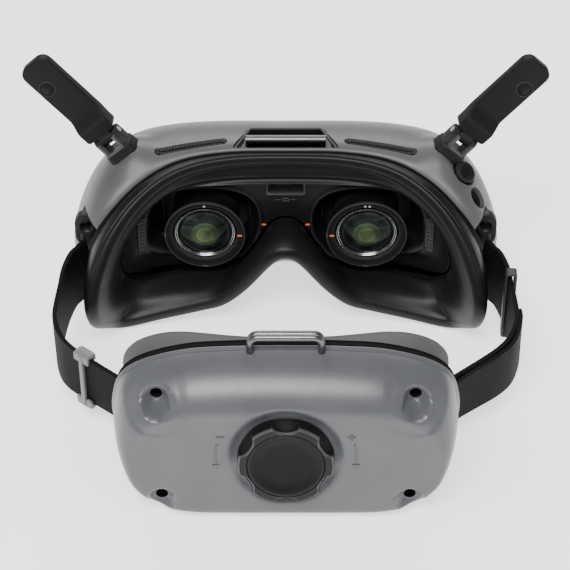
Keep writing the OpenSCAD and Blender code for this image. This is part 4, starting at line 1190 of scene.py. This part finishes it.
def lobed(z):
    """Outline of the knob at a height: round at its foot, scalloped above."""
    depth = 2.55 * np.clip((z + 0.3) / (KNOB_H - 0.9), 0, 1)
    phase = (np.degrees(turns) - 30) % 60
    phase = np.minimum(phase, 60 - phase)
    dip = np.sqrt(np.clip(1 - (phase / 15.5) ** 2, 0, 1)) ** 1.15
    return KNOB_R - depth * dip


def knob_line(radius, z):
    return placed(columns(radius * np.cos(turns), radius * np.sin(turns), z), knob_axis)


top = lobed(KNOB_H)
profile = [(4.0, -1.6), (lobed(0) - 0.6, -1.6), (lobed(0) - 0.1, -1.2), (lobed(0), -0.7)]
profile += [(lobed(z), z) for z in (0.2, 0.7, 1.2, 1.7, 2.2, 2.7, 3.2, KNOB_H - 1.0)]
profile += [(top - d, KNOB_H - h) for d, h in
            ((0.12, 0.75), (0.32, 0.62), (0.5, 0.3), (0.62, 0.08), (0.85, 0))]
profile += [(np.minimum(CAP_R + 0.55, top - 0.9), KNOB_H + 0.02), (CAP_R + 0.28, KNOB_H - 0.15),
            (CAP_R + 0.2, KNOB_H - 1.3), (CAP_R - 3, KNOB_H - 1.4), (1.0, KNOB_H - 1.4)]
knob = loft("knob_grip", [knob_line(r, z) for r, z in profile])
shaft = lathe("shaft", [(0, -19.6), (3.9, -19.6), (4.0, -19.4), (4.0, -1.4), (0, -1.4)], knob_axis, 40)
grip = done(joined("knob_grip_and_shaft", knob, shaft), "knob", CHARCOAL, "adjust_knob", sharp=26)


# Faces of the band round the knob's top edge, which get a lighter grey as a painted highlight along the rim.
def knob_edge_painted_highlight(at, facing):
    height = (at - KNOB_AT) @ OUT
    away = np.linalg.norm(at - KNOB_AT - height * OUT)
    return KNOB_H - 0.72 < height < KNOB_H - 0.02 and away > CAP_R + 0.5


second_look(grip, EDGE_GREY, knob_edge_painted_highlight)
cap_piece = lathe("knob_cap_dish", [
    (CAP_R - d, KNOB_H + h) for d, h in (
        (CAP_R, -1.35), (0.02, -1.35), (0, -0.25), (0.12, 0.06), (0.4, 0.2), (1.2, 0.2), (1.9, 0.02),
        (2.6, -0.3), (3.6, -0.72), (4.8, -0.92), (6.4, -1.0), (CAP_R, -1.05))], knob_axis, 128)
done(cap_piece, "knob", CHARCOAL, "knob_cap", sharp=60)

# Raised signs beside the knob: curved arrow and a minus or plus, in place of words
R_SIGN, ARROW = 25.2, 1.35      # distance from the knob, half width of the arrow head


def on_face(deg, side, r=R_SIGN):
    """Place on the case's face round the knob; the right side mirrors the left."""
    a = math.radians(deg if side < 0 else 180 - deg)
    across, up = np.array([1, 0, 0]), np.array([0, math.sin(LEAN), math.cos(LEAN)])
    return KNOB_AT + r * math.cos(a) * across + r * math.sin(a) * up


for name, side in SIDES:
    parts = []
    line = [on_face(d, side) + OUT * 0.2 for d in np.linspace(183, 166, 12)]
    rings = []
    for k, p in enumerate(line):
        radial = unit(p - KNOB_AT - OUT * ((p - KNOB_AT) @ OUT))
        w = 0.45 - 0.15 * k / (len(line) - 1)
        corners = ((-w, -0.1), (w, -0.1), (w * 0.8, 0.2), (-w * 0.8, 0.2))
        rings.append([p + radial * a + OUT * b for a, b in corners])
    parts.append(loft("sweep", rings))
    tri = np.array([on_face(192, side), on_face(186.2, side, R_SIGN - ARROW),
                    on_face(186.2, side, R_SIGN + ARROW)])
    parts.append(loft("arrow", [tri + OUT * 0.1, tri * 0.94 + tri.mean(0) * 0.06 + OUT * 0.45]))
    bars = ((3.0, 0.75, 0.5), (0.75, 3.0, 0.5))
    for size in bars[:1] if side < 0 else bars:
        parts.append(block("bar", size, basis(on_face(158, side), OUT), 0.1))
    done(joined("knob_sign_" + name, *parts), "pack", EDGE_GREY, slot="pack_grey", sharp=20)

# Bail for the top strap: two ridges with a groove between them
loop_lo, loop_hi = low("rear_loop"), high("rear_loop")
WIRE, BEND_R = 1.4, 3.0
half_w, top_z, loop_y = loop_hi[0] - WIRE, loop_hi[2] - WIRE, (loop_lo[1] + loop_hi[1]) / 2
FOOT_Y = loop_y + 1.2
bend_x, bend_z = half_w - BEND_R, top_z - BEND_R
path = [(-half_w, FOOT_Y, loop_lo[2]), (-half_w, loop_y, bend_z)]
bends = arc(-bend_x, bend_z, BEND_R, 180, 90, 9) + arc(bend_x, bend_z, BEND_R, 90, 0, 9)
path += [(x, loop_y, z) for x, z in bends]
path += [(half_w, loop_y, bend_z), (half_w, FOOT_Y, loop_lo[2])]
dense = []
for a, b in zip(path[:-1], path[1:]):
    count = max(1, int(np.linalg.norm(np.array(b) - a) / 0.8))
    dense += [np.array(a) + (np.array(b) - np.array(a)) * k / count for k in range(count)]
dense.append(np.array(path[-1]))
theta = np.linspace(0, 2 * math.pi, 40, endpoint=False)
c_off, r_off = 1.0, 1.3
rho = c_off * np.abs(np.sin(theta)) + np.sqrt(np.maximum(r_off**2 - (c_off * np.cos(theta)) ** 2, 0))
bail = sweep("rear_bail", dense, [(r * math.sin(t), r * math.cos(t)) for r, t in zip(rho, theta)], (0, 1, 0))
done(bail, "pack", SATIN, "rear_loop", sharp=50)

# ---------------------------------------------------------------- straps
STRAP_T = 1.8
MAIN = [(79.9, 27.6), (81.4, 25.6), (83.2, 22.6), (85.4, 18.6), (87.3, 10), (88.1, 0), (88.7, -10),
        (88.4, -19), (85.4, -28.6), (80.3, -35.6), (70, -44.5), (62, -51.5), (59.6, -56), (59, -62.6)]
LAYER = [(90.2, -13.4), (90.1, -19), (87.0, -29.6), (81.7, -37.0), (71.4, -46.0), (63.2, -53.2),
         (61.0, -58)]


def strap_edges(y):
    """Upper and lower edge of the strap at a place along it."""
    t = (30 - y) / 94
    top = 36 - 4 * t
    return top, top - (29 - 9 * t)


def band(name, line, side, trim=0.0, thick=STRAP_T):
    """Flat webbing along a plan line, with its weave coordinates in millimetres."""
    path = spline(line, 8)
    steps = np.linalg.norm(np.diff(path, axis=0), axis=1)
    run = np.r_[0, np.cumsum(steps)]
    normals = np.gradient(path, axis=0)
    normals /= np.linalg.norm(normals, axis=1)[:, None]
    normals = columns(-normals[:, 1], normals[:, 0])
    rings, weave = [], []
    for (x, y), nrm, s in zip(path, normals, run):
        top, bottom = strap_edges(y)
        top, bottom = top - trim, bottom + trim
        heights = np.linspace(bottom + 0.35, top - 0.35, 16)
        ripple = 0.10 * np.sin(s * 0.21 + heights * 0.12)
        # up the outer face, over the top edge, down the inner face, round the bottom edge
        edge = thick * 0.2
        spots = [(thick / 2 + w, h) for h, w in zip(heights, ripple)] + [(edge, top), (-edge, top)]
        spots += [(w - thick / 2, h) for h, w in zip(heights[::-1], ripple[::-1])]
        spots += [(-edge, bottom), (edge, bottom)]
        rings.append(np.array([(x + nrm[0] * out, y + nrm[1] * out, h) for out, h in spots]))
        weave += [(s, h, 0) for _, h in spots]
    obj = loft(name, rings)
    layer = obj.data.attributes.new("weave", "FLOAT_VECTOR", "POINT")
    layer.data.foreach_set("vector", np.array(weave, np.float32).ravel())
    return flipped(obj, side)


def stretches(obj, *nodes):
    """Webbing between the goggles and the pack."""
    dress(obj, WEAVE, 50)
    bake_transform(obj)
    if nodes:
        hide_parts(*nodes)


for name, side in SIDES:
    stretches(band("strap_" + name, MAIN, side), "front_strap_" + name, "rear_strap_" + name)
stretches(band("strap_return_right", LAYER, 1, 0.5, 1.6))

keeper_at = centre("strap_keeper")
keeper_axis = basis((keeper_at[0] + 0.2, keeper_at[1], keeper_at[2]), (0.05, 1, 0), (1, 0, 0))
hx, hz = 2.35, (high("strap_keeper") - low("strap_keeper"))[2] / 2
keeper_rings = []
for wide, y in ((0.0, -2.0), (-0.25, -2.3), (-0.95, -2.3), (-1.2, -2.0),
                (-1.2, 2.0), (-0.95, 2.3), (-0.25, 2.3), (0.0, 2.0)):
    keeper_rings.append(placed(level(oval(hx + wide, hz + wide, 1.25 + wide * 0.8, 5), y), keeper_axis))
done(loft("strap_keeper_loop", keeper_rings, ring=True), "goggles", DARK, "strap_keeper")

# Ladder-lock buckle on the left strap
buckle_mid = centre("strap_buckle")
path = spline(MAIN, 8) * (-1, 1)
near = int(np.argmin(np.linalg.norm(path - buckle_mid[:2], axis=1)))
tangent = unit((*(path[near + 1] - path[near - 1]), 0))
normal = np.cross(tangent, UPWARD)
normal = normal if normal[0] < 0 else -normal
at = np.array([path[near][0], path[near][1], 0])
top, bottom = strap_edges(path[near][1])


def buckle_block(size, out, z, along=0.0, r=0.35):
    return block("part", size, (columns(tangent, normal, np.cross(tangent, normal)),
                                at + normal * out + tangent * along + np.array([0, 0, z])), r)


parts = [
    buckle_block((7.4, 4.4, 1.5), 0.0, top + 1.15),
    buckle_block((7.4, 1.3, 3.6), 1.75, top - 0.2),
    buckle_block((7.4, 1.2, 2.6), -1.65, top + 0.2),
    buckle_block((1.9, 1.5, top - bottom + 2.6), 2.0, (top + bottom) / 2),
    buckle_block((7.4, 4.4, 1.5), 0.0, bottom - 1.15),
    buckle_block((2.6, 1.3, 3.6), 1.75, bottom + 0.2, -2.4),
    buckle_block((2.6, 1.3, 3.6), 1.75, bottom + 0.2, 2.4),
    buckle_block((7.4, 1.2, 2.6), -1.65, bottom - 0.2)]
done(joined("strap_slider", *parts), "pack", BUCKLE, "strap_buckle")

# Strap anchors: a lug with an eye, and the upright bar that the strap is sewn round
for name, side in SIDES:
    lug_line = np.array(arc(0, 3.0, 4.7, 0, 180, 16) + arc(0, -3.0, 4.7, 180, 360, 16))
    lug = slab("lug", lug_line, -3.2, 0.6, 0.35, rear_facing(*LUG))
    eye_tool = lathe("tool", [(0, -9), (2.1, -9), (2.1, -0.2), (2.6, 0.4), (3.4, 1.4), (0, 1.4)],
                     rear_facing(LUG[0], LUG[1], LUG[2] + 1.8), 40)
    carve(lug, eye_tool)
    post_line = [(LUG[0] + 1.7, LUG[1] + 0.4, z) for z in np.linspace(6.2, 39, 12)]
    post = sweep("post", post_line, circle2(1.35, 20), (1, 0, 0))
    done(flipped(joined("strap_lug_" + name, lug, post), side), "goggles", DARK, "strap_anchor_" + name)


# ---------------------------------------------------------------- CAD nodes that stay
for name, obj in frame["nodes"].items():
    if not obj.hide_render:
        look = BLACKED if name == "guide_rails" else CAD_LOOKS[SLOTS[name]]
        obj.data.materials.clear()
        obj.data.materials.append(look)
        for polygon in obj.data.polygons:
            polygon.material_index = 0

# ---------------------------------------------------------------- camera, floor and light
FOCAL, CAMERA_AT, CAMERA_TILT = 126.3, (-0.0003, -0.6006, 0.5311), math.atan2(0.7705, 0.6374)
# name, place, size and power of each lamp, in metres and watts
LAMPS = (("key", (-0.2, -0.85, 1.38), (0.95, 0.6), 34), ("rim", (0, 1.25, 0.95), (1.6, 0.45), 19),
         ("fill_left", (-1.3, -0.2, 0.6), (0.7, 0.7), 2), ("fill_right", (1.3, -0.2, 0.6), (0.7, 0.7), 1.2))
LAMPS_AIM, SKY_STRENGTH = (0, 0, 0.04), 0.14
cam = bpy.data.objects.new("camera", bpy.data.cameras.new("camera"))
bpy.context.scene.collection.objects.link(cam)
cam.data.sensor_width = 36
cam.data.lens = FOCAL
cam.data.clip_end = 20
cam.location = CAMERA_AT
cam.rotation_euler = (CAMERA_TILT, 0, 0)
bpy.context.scene.camera = cam

bpy.ops.mesh.primitive_plane_add(size=12, location=(0, 0, -0.0004))
floor = bpy.context.object
floor.name = "floor"
paper = Look("floor_paper", (0.86, 0.86, 0.86), 0.9)
paper.bump(paper.noise(300, 3), 0.0001)
paper.put(Emission_Color=(1, 1, 1, 1), Emission_Strength=1.35)
floor.data.materials.append(paper.mat)

for name, at, size, power in LAMPS:
    lamp = bpy.data.lights.new(name, "AREA")
    lamp.shape, lamp.size, lamp.size_y = "RECTANGLE", size[0], size[1]
    lamp.energy = power
    softbox = bpy.data.objects.new(name, lamp)
    bpy.context.scene.collection.objects.link(softbox)
    softbox.location = at
    softbox.rotation_euler = (Vector(LAMPS_AIM) - Vector(at)).to_track_quat("-Z", "Y").to_euler()
world = bpy.data.worlds.new("studio")
world.use_nodes = True
world.node_tree.nodes["Background"].inputs["Color"].default_value = (1, 1, 1, 1)
world.node_tree.nodes["Background"].inputs["Strength"].default_value = SKY_STRENGTH
bpy.context.scene.world = world
